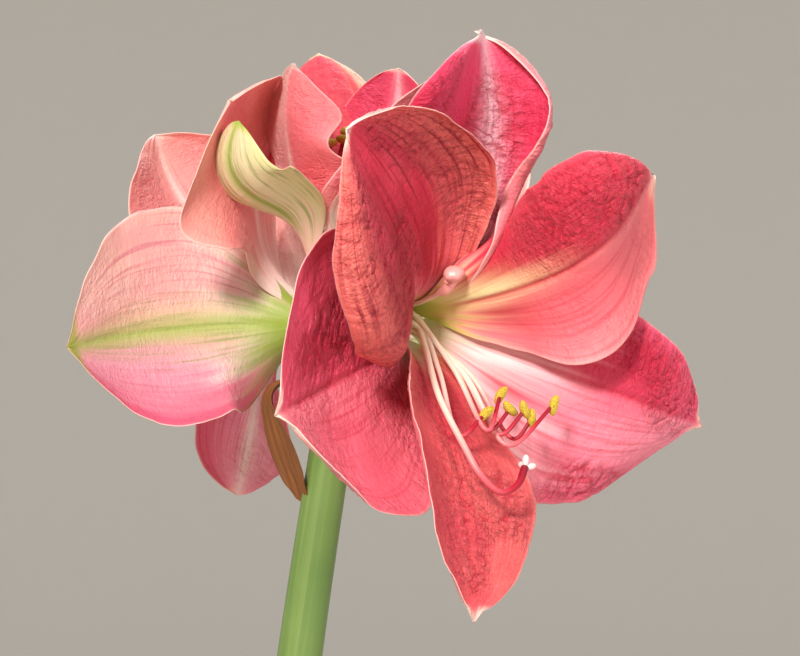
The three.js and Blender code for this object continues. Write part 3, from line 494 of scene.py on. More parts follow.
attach(scape, "root")
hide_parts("scape")

# Waxy stem: fresh mid green, paler and yellower in bands, with faint lengthwise lines and
# a thin wax that gives it a soft sheen.
finish, tree, out = new_finish("waxy flower stalk")
place = add(tree, "UVMap", uv_map="UVMap")
drawn = add(tree, "Mapping", {"Vector": place.outputs[0], "Scale": (26, 3, 1)})
line = add(tree, "TexNoise", {"Vector": drawn.outputs[0], "Scale": 1, "Detail": 4})
solid = add(tree, "TexCoord")
band = add(tree, "TexNoise", {"Vector": solid.outputs["Object"], "Scale": 26, "Detail": 2})
green = add(tree, "Mix", {
    0: band.outputs["Fac"], 6: "#4E7238", 7: "#7B9450"}, data_type="RGBA")
lines = add(tree, "MapRange", {
    "Value": line.outputs["Fac"], "From Min": 0.45, "From Max": 0.7, "To Min": 0, "To Max": 0.22})
lined = add(tree, "Mix", {
    0: lines.outputs[0], 6: green.outputs[2], 7: "#A3B568"}, data_type="RGBA")
relief = add(tree, "Bump", {"Height": line.outputs["Fac"], "Strength": 0.12, "Distance": 0.0004})
surface = add(tree, "BsdfPrincipled", {
    "Base Color": lined.outputs[2], "Roughness": 0.42, "IOR": 1.42, "Normal": relief.outputs[0],
    "Subsurface Weight": 0.12, "Subsurface Radius": (0.002, 0.003, 0.0008), "Subsurface Scale": 1.0})
tree.links.new(surface.outputs[0], out.inputs[0])
waxy_stalk = finish
scape.data.materials.append(finish)


# Leaves. Three long strap leaves from the bulb's neck: channelled, thick at the middle,
# arching outwards, with parallel veins and a rounded tip.
LEAVES = [
    dict(towards=168, length=235, width=40, lean=(6, 104), bend=(-0.05, 1.2)),
    dict(towards=285, length=190, width=38, lean=(8, 92), bend=(-0.05, 1.2)),
    dict(towards=48, length=250, width=42, lean=(4, 110), bend=(-0.05, 1.2)),
]
LEAF_RING, LEAF_FOOT, LEAF_THICKNESS = 15.2, 160, 2.6


def strap(blade, start, ring, foot_width, along, halves, lag, twist=0):
    """A channelled strap's middle surface. Its midrib leans outwards by an angle that eases
    from lean[0] to lean[1] over the bend; each cross-section is an arc that flattens from
    the foot, and the half width swells from the foot and closes in the tip. The midrib's
    lean runs behind the section's by the lag; a twist turns the sections past a quarter."""
    u = np.linspace(0, 1, along + 1)
    v = np.linspace(-1, 1, 2 * halves + 1)
    at = radians(blade["towards"])
    outward, side = np.array([cos(at), sin(at), 0]), np.array([-sin(at), cos(at), 0])
    low, high = blade["lean"]
    lean, behind = (np.radians(low + (high - low) * ease(w, *blade["bend"]))[:, None] for w in (u, u - lag))
    forward, path = (np.cos(w) * np.array([0, 0, 1]) + np.sin(w) * outward for w in (lean, behind))
    steps = (path[1:] + path[:-1]) / 2 * blade["length"] / along
    middle = start + outward * ring + np.vstack([[0, 0, 0], np.cumsum(steps, 0)])
    inward = np.cross(forward, side)
    fill = foot_width + (1 - foot_width) * ease(u, 0, 0.4)
    half = np.maximum(blade["width"] / 2 * fill * (1 - np.clip((u - 0.6) / 0.4, 0, 1) ** 2.4) ** 0.6, 0.9)
    wrap = half / ring + (radians(20) - half / ring) * ease(u, 0, 0.5)
    x = (half / wrap)[:, None] * np.sin(wrap[:, None] * v)
    z = (half / wrap)[:, None] * (1 - np.cos(wrap[:, None] * v))
    spin = np.radians(twist * ease(u, 0.2, 0.7))[:, None]
    x, z = x * np.cos(spin) - z * np.sin(spin), x * np.sin(spin) + z * np.cos(spin)
    points = middle[:, None] + x[..., None] * side + z[..., None] * inward[:, None]
    return points, u, v, half


def blade_shell(points, thickness):
    """Both faces and the rim of a blade about its middle surface. The normal is the cross
    product of the slopes along and across; the first face lies half the thickness along
    it, the second half the thickness against it. Returns points, quads and face kinds."""
    along, across = np.gradient(points, axis=0), np.gradient(points, axis=1)
    normal = np.cross(along, across)
    normal /= np.maximum(np.linalg.norm(normal, axis=-1, keepdims=True), 1e-9)
    rows, columns = points.shape[:2]
    shift = normal * thickness[..., None] / 2
    shell = np.concatenate([(points + shift).reshape(-1, 3), (points - shift).reshape(-1, 3)])
    i, j = np.meshgrid(np.arange(rows - 1), np.arange(columns - 1), indexing="ij")
    a, b = (i * columns + j).ravel(), (i * columns + j + 1).ravel()
    c, d = b + columns, a + columns
    back = rows * columns
    left = np.arange(rows - 1) * columns
    last = (rows - 1) * columns + np.arange(columns - 1)
    right = (np.arange(rows - 1, 0, -1) * columns) + columns - 1
    first = np.arange(columns - 1, 0, -1)
    loop = np.concatenate([left, last, right, first])
    after = np.roll(loop, -1)
    rim = np.stack([after, loop, back + loop, back + after], -1)
    quads = np.concatenate([np.stack([a, d, c, b], -1), np.stack([a, b, c, d], -1) + back, rim])
    kinds = np.repeat([0, 1, 1], [len(a), len(a), len(rim)])
    return shell, quads, kinds


# Strap leaf: deep green with a paler midrib and fine parallel veins; its wax coat is smooth
# and gives broad soft highlights.
leaf_finish, tree, out = new_finish("waxy strap leaf")
place = add(tree, "UVMap", uv_map="UVMap")
drawn = add(tree, "Mapping", {"Vector": place.outputs[0], "Scale": (60, 4, 1)})
vein = add(tree, "TexNoise", {"Vector": drawn.outputs[0], "Scale": 1, "Detail": 3})
solid = add(tree, "TexCoord")
tone = add(tree, "TexNoise", {"Vector": solid.outputs["Object"], "Scale": 20, "Detail": 3})
green = add(tree, "Mix", {
    0: tone.outputs["Fac"], 6: "#2F5A22", 7: "#5E8A3A"}, data_type="RGBA")
lines = add(tree, "MapRange", {
    "Value": vein.outputs["Fac"], "From Min": 0.45, "From Max": 0.7, "To Min": 0, "To Max": 0.45})
lined = add(tree, "Mix", {
    0: lines.outputs[0], 6: green.outputs[2], 7: "#86A95A"}, data_type="RGBA")
split = add(tree, "SeparateXYZ", {0: place.outputs[0]})
off = add(tree, "Math", {0: split.outputs[0], 1: 0.5}, operation="SUBTRACT")
near = add(tree, "Math", {0: off.outputs[0]}, operation="ABSOLUTE")
middle = add(tree, "MapRange", {
    "Value": near.outputs[0], "From Min": 0.0, "From Max": 0.06, "To Min": 0.5, "To Max": 0})
ribbed = add(tree, "Mix", {
    0: middle.outputs[0], 6: lined.outputs[2], 7: "#A9C07A"}, data_type="RGBA")
relief = add(tree, "Bump", {"Height": vein.outputs["Fac"], "Strength": 0.3, "Distance": 0.0005})
surface = add(tree, "BsdfPrincipled", {
    "Base Color": ribbed.outputs[2], "Roughness": 0.36, "IOR": 1.45, "Normal": relief.outputs[0]})
tree.links.new(surface.outputs[0], out.inputs[0])

for k, blade in enumerate(LEAVES):
    points, u, v, half = strap(blade, np.array([0, 0, LEAF_FOOT]), LEAF_RING, 0.62, 110, 18, 1 / 24)
    grain = cloud(np.broadcast_to(v * 9 + 30, (111, 37)), np.broadcast_to(u[:, None] * 3, (111, 37)), 20 + k)
    thickness = LEAF_THICKNESS * (1 - 0.45 * u[:, None]) * (1 - 0.45 * v ** 2) - 0.15 * grain
    shell, quads, kinds = blade_shell(points, thickness)
    spots = np.stack(np.broadcast_arrays((v + 1) / 2, u[:, None]), -1).reshape(-1, 2)
    leaf = new_piece(f"leaf_{k + 1}_waxy", shell, quads, (), np.tile(spots, (2, 1)))
    leaf.data.materials.append(leaf_finish)
    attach(leaf, "root")
    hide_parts(f"leaf_{k + 1}")


# Flowers. Four trumpet flowers: throat is where the petals part, turn and tip are the way
# the flower faces, seat and bow shape its pedicel. A petal's values give its place round the
# throat, its size, how it flares, sweeps, rolls and twists, the crease of its midrib, and
# for its two halves the cup, the curl of the margin and the wave along it. A least-squares
# fit of this same surface gave them, rounded, and some were changed since: it drew
# 14 petals to points picked on a photograph, and kept the other 10 clear of the rest
# and inside its outline. Turn and tip are the best of those tried, and a throat was worked
# out from a point of the photograph and a depth.
FLOWERS = dict(
    front=dict(
        throat=(59, -34, 538.8), turn=30, tip=-8, seat=(3.6, -5), bow=(2, -2, 22), grid=(150, 56),
        petals=dict(
            upper_left_petal=dict(at=133, length=122, width=96, broadest=0.55, flare=(59, 73),
                                  roll=37, twist=9, keel=11, cup=(49, -26), curl=(63, -103),
                                  wave=(0.8, -1.8), phase=(0, 108),
                skin=dict(crinkle=(0.85, 1.0), groove=0.4, deep=(0.4, 0.6)),
                inner=dict(body="#E64A64", rose="#DC3A56", flame="#A20A2A", rim="#F27C72", rim_share=0.8,
                           star_width=3.2, star_reach=0.3, blush="#E8788C", blush_reach=0.36,
                           throat_reach=0.16, flames=1.0, vein="#98082A", vein_share=0.9)),
            upper_right_petal=dict(at=41, length=119, width=73, broadest=0.76, flare=(33, 110),
                                   sweep=8, roll=-6, twist=58, keel=-4, cup=(36, -54), curl=(14, -49),
                                   wave=(4.6, -2.3), phase=(-31, 29),
                skin=dict(start=(0.3, 0.7), crinkle=(0.35, 0.95), groove=1.0, deep=(0.1, 0.45), point=1.5),
                inner=dict(body="#EF7F86", plus="#E04A60", rose="#DC3C5A", flame="#AE0F32",
                           star="#EDE6AE", star_width=6.5, star_side=2.6, star_reach=0.75,
                           blush="#EFA49A", blush_reach=0.42, throat="#C3C858", throat_reach=0.3,
                           flames=0.8)),
            bottom_petal=dict(at=-106, length=126, width=65, broadest=0.63, flare=(43, 68), sweep=10,
                              roll=-7, twist=-4, cup=(50, 3), wave=(-1.2, -1.1), phase=(57, 64),
                skin=dict(crinkle=(0.75, 0.95), groove=0.4, deep=(0.3, 0.3), point=3),
                inner=dict(body="#EE6E6E", rose="#E4525E", star_width=2, star_reach=0.3, blush_reach=0.25)),
            top_sepal=dict(at=77, length=116, width=76, broadest=0.84, flare=(79, 98), sweep=21,
                           roll=-17, twist=51, keel=4, cup=(110, 24), curl=(100, -65), skew=0.25,
                           wave=(6.3, -2.2), phase=(119, 99),
                lift=(2.0, -0.5, -3.4),
                skin=dict(crinkle=(0.85, 0.8), groove=0.35, deep=(0.75, 0.15), point=2),
                # Its throat is a dark olive: the green throat, darkened as painted shade in the hollow behind
                # the other petals.
                inner=dict(body="#EE5880", rose="#E23E68", flame="#AE0F36", star="#F8CBDA", star_width=11,
                           star_reach=1.6, blush_reach=0.2, throat="#7E7A22", throat_reach=0.44,
                           margin="#F4C9CE")),
            lower_right_sepal=dict(at=-18, length=121, width=76, flare=(53, 106), twist=14, keel=-6,
                                   cup=(-14, -12), curl=(-13, -15), skew=-0.23, wave=(-2.2, -1.1),
                                   phase=(-57, 95),
                skin=dict(start=(0.42, 0.66), crinkle=(0.9, 1.0), groove=0.7, deep=(0.3, 0.75), point=4),
                # Its crimson rim on the lower half is a painted shadow: the shadow the bottom petal casts on
                # its lower margin.
                inner=dict(body="#F08CA2", plus="#E4587A", rose="#E44E70", flame="#B4103A",
                           star="#F4DCD6", star_width=8, star_reach=0.5, blush="#F2C8CE",
                           blush_reach=0.66, throat="#D9DDA0", rim="#C83056", rim_share=0.5, rim_half=-1)),
            lower_left_sepal=dict(at=-161, length=110, width=104, broadest=0.64, flare=(63, 51),
                                  sweep=-10, twist=8, keel=11, cup=(-4, 25), curl=(14, 21),
                                  wave=(-0.6, -2.2), phase=(-55, 89),
                skin=dict(crinkle=(0.9, 0.85), groove=0.8, deep=(0.7, 0.1), point=4.5),
                inner=dict(body="#EC5878", plus="#F27E92", rose="#E23C62", flame="#B40E36",
                           star_width=2.5, star_reach=0.4, blush="#EE9AA8", blush_reach=0.3)),
        ),
    ),
    left=dict(
        throat=(27.1, 9, 538.2), turn=-116, tip=5, seat=(5.6, 2.6), bow=(10, -4, 20), grid=(96, 36),
        petals=dict(
            upper_near_petal=dict(at=89, length=107, width=76, broadest=0.77, flare=(91, 104),
                                  sweep=-57, roll=20, twist=-32, cup=(-2, -22), curl=(0, -19),
                                  skew=-0.22, wave=(-1.9, 2.6), phase=(-67, 82),
                # Painted light: both faces are painted a pale salmon and the inner one gets no crimson, so
                # that the petal, turned away from the key lamp, looks lit.
                skin=dict(crinkle=(0.3, 0.4), groove=0.3, deep=(0.1, 0.1)),
                inner=dict(body="#F6ACA2", rose="#F09A94", flames=0, vein_share=0.15),
                outer=dict(body="#F4A29C", rose="#EE8E8E", star="#F8D0C6", vein_share=0.2)),
            far_petal=dict(at=174, length=112, width=62, flare=(50, 60), roll=-5, cup=(9, 4)),
            lower_petal=dict(at=299, length=85, width=52, flare=(20, 33), roll=8, cup=(24, 36),
                             curl=(0, 17)),
            near_sepal=dict(at=-11, length=98, width=90, broadest=0.5, flare=(45, 77), roll=28,
                            twist=-22, keel=-11, cup=(-20, 19), curl=(-38, -16),
                skin=dict(crinkle=(0.3, 0.3), groove=-0.5, deep=(0, 0), point=2),
                # Its blush is a greyed pink and its lower half a darker rose than its upper half: the sepal's
                # own colours, partly darkened as painted shade of the shadow that falls across it.
                outer=dict(body="#D996AA", plus="#E9BAB2", rose="#DE8A9E", star="#A6B566", star_width=9,
                           star_reach=1.9, blush="#E6CCC8", blush_reach=0.52, throat="#8CA23A",
                           throat_reach=0.36, rim="#CE4A70", rim_share=0.9, rim_half=-1, tip="#8E9C3E",
                           vein="#C76C84", mid_vein="#7F9440", vein_share=0.6)),
            upper_left_sepal=dict(at=113, length=108, width=87, broadest=0.64, flare=(28, 69),
                                  sweep=-30, roll=-28, twist=26, keel=-13, cup=(4, -47), curl=(0, -29),
                                  skew=0.15, wave=(-1.9, 0.7), phase=(16, 103),
                outer=dict(body="#F2A8A2", rose="#EC9696", star="#F8DED8", star_width=6, star_reach=1.6),
                inner=dict(body="#EE9690", rose="#E88484", star="#F8DED8", star_width=6, star_reach=1.6)),
            bottom_sepal=dict(at=232, length=107, width=51, broadest=0.56, flare=(67, 67), sweep=7,
                              roll=-31, twist=-54, cup=(34, -30), curl=(30, -69), skew=-0.13,
                outer=dict(body="#EB98A6", rose="#E27E94", star="#F2DAD2", star_width=5, star_reach=1.5,
                           rim="#C93E62", rim_share=0.7),
                inner=dict(body="#EB98A6", rose="#E27E94", star="#F2DAD2", star_width=5, star_reach=1.5,
                           rim="#C93E62", rim_share=0.7, flames=0)),
        ),
    ),
    upper=dict(
        throat=(31.6, -9, 564.5), turn=0, tip=76, seat=(-4.2, -4.6), bow=(-2, -7, 18), grid=(76, 30),
        petals=dict(
            front_left_petal=dict(at=178, length=73, width=61, flare=(10, -13), sweep=8, roll=15,
                                  twist=-11, cup=(6, 53), curl=(-30, 17), wave=(1, 4.9), phase=(54, 51),
                outer=dict(body="#F2B8B4", rose="#EA969C", plus="#EC6E74", flame="#C4284A", flames=0.4,
                           blush="#F8E2DA", blush_reach=0.5),
                inner=dict(body="#EA6A70", rose="#E2505E", blush="#F8E4DC", blush_reach=0.5, star_width=4)),
            back_right_petal=dict(at=38, length=75, width=62, flare=(43, -4), cup=(18, 19),
                inner=dict(body="#E8587C", rose="#E0486A", star="#F8D0DA", star_width=6, star_reach=1.5)),
            front_petal=dict(at=-45, length=56, width=34, flare=(26, 36), sweep=30, cup=(50, 35)),
            left_sepal=dict(at=212, length=67, width=48, broadest=0.61, flare=(63, -24), sweep=-26,
                            roll=27, keel=-4, cup=(34, 20), skew=0.22,
                skin=dict(crinkle=(0.1, 0.1), groove=-0.3, deep=(0, 0), veins=0.5),
                outer=dict(body="#D8CDA2", rose="#DCC0A4", star="#93A840", star_width=3.5, star_reach=1.9,
                           blush="#E6C4B0", blush_reach=0.5, throat="#E0B4A6", throat_reach=0.4,
                           rim="#C9C67C", rim_share=0.4, tip="#A3B248", vein="#8C9A50", vein_share=0.85,
                           margin="#EFE6BE")),
            back_sepal=dict(at=94, length=91, width=63, flare=(39, 68), roll=-6, keel=-21,
                            cup=(-9, -13), curl=(-37, -41),
                inner=dict(body="#EA6472", rose="#E05062", margin="#F4E2B8", rim="#F3D9B4",
                           rim_share=0.9, rim_half=-1),
                outer=dict(body="#F0B8AC", rose="#ECA49E", margin="#F4E2B8")),
            front_right_sepal=dict(at=-22, length=84, width=60, broadest=0.51, flare=(36, 36),
                                   roll=10, twist=-14, cup=(31, 28), curl=(-5, -19)),
        ),
    ),
    back=dict(
        throat=(50.9, 40, 536), turn=140, tip=6, seat=(-1.2, 6.2), bow=(0, 2, 20), grid=(54, 20),
        petals=dict(
            upper_left_petal=dict(at=148, length=105, width=68, flare=(34, 58), cup=(12, 14),
                                  wave=(1.2, 1.2)),
            upper_right_petal=dict(at=29, length=106, width=68, flare=(36, 60), cup=(12, 8),
                                   wave=(-1.4, 1.2)),
            bottom_petal=dict(at=-91, length=100, width=59, flare=(32, 54), cup=(21, 21),
                              wave=(1, -1.2)),
            top_sepal=dict(at=88, length=106, width=76, flare=(52, 76), cup=(12, 8), wave=(1.4, 1.2)),
            lower_right_sepal=dict(at=-30, length=104, width=74, flare=(52, 74), cup=(5, 10),
                                   wave=(-1.2, 1.4)),
            lower_left_sepal=dict(at=208, length=102, width=72, flare=(50, 74), cup=(10, 5),
                                  wave=(1.2, -1.4)),
        ),
    ),
)
PLAIN_PETAL = dict(broadest=0.58, sweep=0, roll=0, twist=0, keel=0, cup=(0, 0), curl=(0, 0), skew=0,
                   wave=(0, 0), phase=(0, 90))
PETAL_RING, SEPAL_RING, CLAW_DEPTH = 5.4, 6.8, 6


def flower_axes(flower):
    """The flower's own frame as rows: to its right as one faces it, up, and out along its
    axis. It turns about Z from facing -Y, and tips up."""
    turn, tip = radians(flower["turn"]), radians(flower["tip"])
    axis = np.array([sin(turn) * cos(tip), -cos(turn) * cos(tip), sin(tip)])
    right = np.array([cos(turn), sin(turn), 0])
    return np.stack([right, np.cross(axis, right), axis])


def petal_surface(petal, ring, along, halves):
    """A petal's middle surface in its flower's frame. The midrib starts at the throat and
    its flare eases from 12 degrees to flare[0] by mid length and to flare[1] at the tip, as
    it sweeps sideways. The half width is a narrow claw that swells as a sine to its broadest
    and closes in an ellipse. Each cross-section is integrated from the midrib outwards: its
    angle is the wrap round the throat at the claw, and further out cup v + curl past 0.45
    squared + the midrib's crease; a sine wave along the margin grows as v to the 2.5."""
    q = {**PLAIN_PETAL, **petal}
    u = np.linspace(0, 1, along + 1)
    v = np.linspace(-1, 1, 2 * halves + 1)
    at = radians(q["at"])
    outward, round_ = np.array([cos(at), sin(at), 0]), np.array([-sin(at), cos(at), 0])
    axis = np.array([0, 0, 1])
    flare = np.radians(12 + (q["flare"][0] - 12) * ease(u, 0.02, 0.5)
                       + (q["flare"][1] - q["flare"][0]) * ease(u, 0.45, 1))
    sweep = radians(q["sweep"]) * ease(u, 0.05, 1)
    out = np.cos(sweep)[:, None] * outward + np.sin(sweep)[:, None] * round_
    side = np.cos(sweep)[:, None] * round_ - np.sin(sweep)[:, None] * outward
    forward = np.sin(flare)[:, None] * out + np.cos(flare)[:, None] * axis
    steps = (forward[1:] + forward[:-1]) / 2 * q["length"] / along
    middle = ring * outward - CLAW_DEPTH * axis + np.vstack([[0, 0, 0], np.cumsum(steps, 0)])
    inward = np.cross(forward, side)
    roll = np.radians(q["roll"] * ease(u, 0.05, 0.4) + q["twist"] * ease(u, 0.4, 1))[:, None]
    width = np.cos(roll) * side + np.sin(roll) * inward
    height = np.cos(roll) * inward - np.sin(roll) * side
    rise = np.sin(pi / 2 * np.minimum(u / q["broadest"], 1)) ** 1.7
    past = np.maximum((u - q["broadest"]) / (1 - q["broadest"]), 0)
    half = np.maximum(q["width"] / 2 * (0.075 + 0.925 * rise) * (1 - past ** 2) ** 0.62, 0.35)
    wrap = np.minimum(half / np.maximum(np.hypot(middle[:, 0], middle[:, 1]), 1), radians(62))[:, None]
    blend = ease(u, 0.1, 0.42)[:, None]
    edge = np.abs(v)
    cup, curl, wave, phase = (np.where(v < 0, *q[key]) for key in ("cup", "curl", "wave", "phase"))
    angle = (1 - blend) * wrap * edge + blend * np.radians(
        cup * edge + curl * np.maximum((edge - 0.45) / 0.55, 0) ** 2 + q["keel"] * (1 - np.exp(-9 * edge)))
    between = (angle[:, 1:] + angle[:, :-1]) / 2
    reach = half[:, None] * (1 + np.sign(v) * q["skew"])
    across, lift = np.cos(between) / halves, np.sin(between) / halves
    x = np.hstack([-np.cumsum(across[:, halves - 1::-1], 1)[:, ::-1], np.zeros((along + 1, 1)),
                   np.cumsum(across[:, halves:], 1)]) * reach
    z = np.hstack([np.cumsum(lift[:, halves - 1::-1], 1)[:, ::-1], np.zeros((along + 1, 1)),
                   np.cumsum(lift[:, halves:], 1)]) * reach
    ripple = (ease(u, 0.2, 0.6) * (1 - 0.5 * ease(u, 0.85, 1)))[:, None]
    z = z + wave * ripple * edge ** 2.5 * np.sin(5 * pi * u[:, None] + np.radians(phase))
    points = middle[:, None] + x[..., None] * width[:, None] + z[..., None] * height[:, None]
    return points, u, v, reach


# A skin's deep gives each half's share of crimson patches: partly the petal's own crimson and partly painted
# shade in its hollows.
PLAIN_SKIN = dict(start=(0.14, 0.4), crinkle=(0.5, 0.5), groove=0.25, deep=(0.25, 0.25), point=0, veins=1)
CREASE_GAP, CREASE_LENGTH = 3.1, 7.5


def petal_relief(skin, along_mm, across_mm, v, u, seed):
    """Height in mm of the leathery skin, the share of fine crinkles, and the share of painted
    crease shade, darker colour put in the creases and the midrib groove. Narrow creases
    cross the veins about 3 mm apart, where a stretched noise passes its middle value; they
    lie in patches, with each half's own strength. Long flutes follow the veins, broad
    swells lift the blade, and a groove runs along the midrib as a bell curve."""
    share = skin["crinkle"][0] + (skin["crinkle"][1] - skin["crinkle"][0]) * ease(v, -0.12, 0.12)
    patch = ease(cloud(along_mm / 22 + 30, across_mm / 17 + 70, seed + 2), 0.25, 0.6)
    zone = ease(u, *skin["start"]) * (1 - 0.8 * ease(u, 0.93, 1)) * (1 - 0.6 * ease(np.abs(v), 0.88, 1))
    crinkle = share * zone * (0.3 + 0.7 * patch)
    bend = 2.6 * cloud(along_mm / 7 + 40, across_mm / 6 + 40, seed + 1)
    field = cloud(along_mm / CREASE_GAP + bend + 90, across_mm / CREASE_LENGTH + 0.6 * bend + 50, seed, 2)
    crease = np.exp(-((field - 0.5) / 0.06) ** 2)
    small = cloud(along_mm / 2.1 + 2 * bend + 10, across_mm / 4.6 + 80, seed + 4) - 0.5
    flutes = 0.35 * (cloud(v * 7 + 30, u * 2 + 10, seed + 7) - 0.5) * ease(u, 0.1, 0.3)
    swell = 1.1 * (cloud(along_mm / 19 + 20, across_mm / 15 + 20, seed + 3) - 0.5) * zone
    groove = skin["groove"] * np.exp(-(across_mm / 1.4) ** 2) * ease(u, 0.15, 0.3) * (1 - ease(u, 0.88, 1))
    # The creases and the midrib groove give the share of painted crease shade: darker colour put where shade
    # falls in them.
    crease_shade = np.clip(crease * crinkle + groove, 0, 1)
    return (0.5 * small - 0.75 * crease) * crinkle + flutes + swell - groove, crinkle, crease_shade


def mixed(first, second, share):
    """Colours between the first and the second by a share from 0 to 1."""
    return first + (np.asarray(second) - first) * np.clip(share, 0, 1)[..., None]


# The two faces of a petal. Inner: coral to rose red, a green-yellow throat, a pale star up
# the midrib with crimson at its sides. Outer: paler salmon pink, the midrib white or green.
# In both faces the last share is crimson painted over the crinkled zones: a painted shade among the wrinkles.
INNER = dict(body="#E2625F", rose="#D5445A", flame="#A80F30", star="#F3DCCB", blush="#EFA9A4",
             throat="#C4CC74", margin="#F6BDB4", rim="#E2625F", rim_share=0, rim_half=0, star_side=0,
             star_width=4.5, star_reach=0.55, blush_reach=0.34, throat_reach=0.24, flames=0.7, vein="#B80E32",
             vein_share=0.4, wrinkle_shade=0.5)
OUTER = dict(body="#EE9E98", rose="#E27E8A", flame="#C8405C", star="#F5E3DA", blush="#F3D3CC",
             throat="#9DB058", margin="#F9DCD2", rim="#EE9E98", rim_share=0, rim_half=0, star_side=0,
             star_width=4.0, star_reach=0.95, blush_reach=0.5, throat_reach=0.22, flames=0.0, vein="#C9586C",
             vein_share=0.3, wrinkle_shade=0.12)


def petal_tint(look, skin, along_mm, across_mm, reach, v, u, crinkle, seed):
    """Colour of a face: body and rose mixed by broad noise, crimson patches in each half's own
    share, partly the petal's own crimson and partly painted shade in its hollows, crimson
    painted over its crinkles as shade among the wrinkles, the blush round the throat, the star
    as a bell curve about the midrib that narrows along it, flames at its sides, the rim's
    colour outwards, the green throat, and a thin pale margin. The fourth value is the veins' share."""
    tone = {key: np.array(linear(value)[:3]) for key, value in look.items() if isinstance(value, str)}
    edge = np.abs(v)
    broad = cloud(along_mm / 26 + 10, across_mm / 17 + 10, seed + 5, 2)
    streak = cloud(v * 14 + 30, u * 3, seed + 6, 2) - 0.5
    body = mixed(tone["body"] + 0 * u[..., None], tone.get("plus", tone["body"]), ease(v, -0.08, 0.08))
    colour = mixed(body, tone["rose"], ease(broad, 0.3, 0.7) * (1 if "plus" not in tone else 0.3))
    # Painted shade, in part: the crimson patches of each half's deep share are partly the petal's own crimson
    # and partly painted shade in its hollows, and the crinkle term paints crimson shade among the wrinkles.
    share = skin["deep"][0] + (skin["deep"][1] - skin["deep"][0]) * ease(v, -0.1, 0.1)
    shadow = ease(cloud(across_mm / 14 + 60, along_mm / 30 + 60, seed + 8), 0.2, 0.7)
    shadow = shadow * ease(u, 0.12, 0.35) * (1 - ease(u, 0.72, 1)) * (1 - ease(edge, 0.6, 1))
    crimson = look["flames"] ** 0.2 * share * shadow + 0.5 * look["wrinkle_shade"] * crinkle
    colour = mixed(colour, tone["flame"], crimson)
    start = 1 - ease(u + 0.25 * streak, look["blush_reach"] * 0.4, look["blush_reach"])
    colour = mixed(colour, tone["blush"], start)
    ring = np.exp(-((u - 0.36) / 0.13) ** 2) * np.exp(-((edge - 0.34) / 0.2) ** 2)
    colour = mixed(colour, tone["flame"], look["flames"] * ring * (0.9 + 0.8 * streak))
    colour = mixed(colour, tone["rim"], look["rim_share"] * ease(edge + 0.3 * streak, 0.35, 0.95)
                   * (look["rim_half"] * v >= 0))
    narrowing = look["star_width"] * (1 - 0.75 * u) + 0.4
    star = np.exp(-(np.abs(across_mm * (1 + 0.6 * streak) - look["star_side"]) / narrowing) ** 1.6)
    colour = mixed(colour, tone["star"], star * (1 - ease(u, look["star_reach"] * 0.4, look["star_reach"])))
    hollow = 1 - ease(u + 0.2 * streak, look["throat_reach"] * 0.3, look["throat_reach"])
    colour = mixed(colour, tone["throat"], hollow)
    line = 1 - ease(reach * (1 - edge), 0.2, 0.75)
    colour = mixed(colour, tone["margin"], 0.6 * line * ease(u, 0.2, 0.4))
    tip_start = 0.95 if "tip" in tone else 0.975
    colour = mixed(colour, tone.get("tip", tone["margin"]), ease(u, tip_start, 0.995))
    share = look["vein_share"] * ease(u, 0.05, 0.3) * (1 - 0.6 * ease(u, 0.8, 1))
    return np.concatenate([colour, share[..., None]], -1)


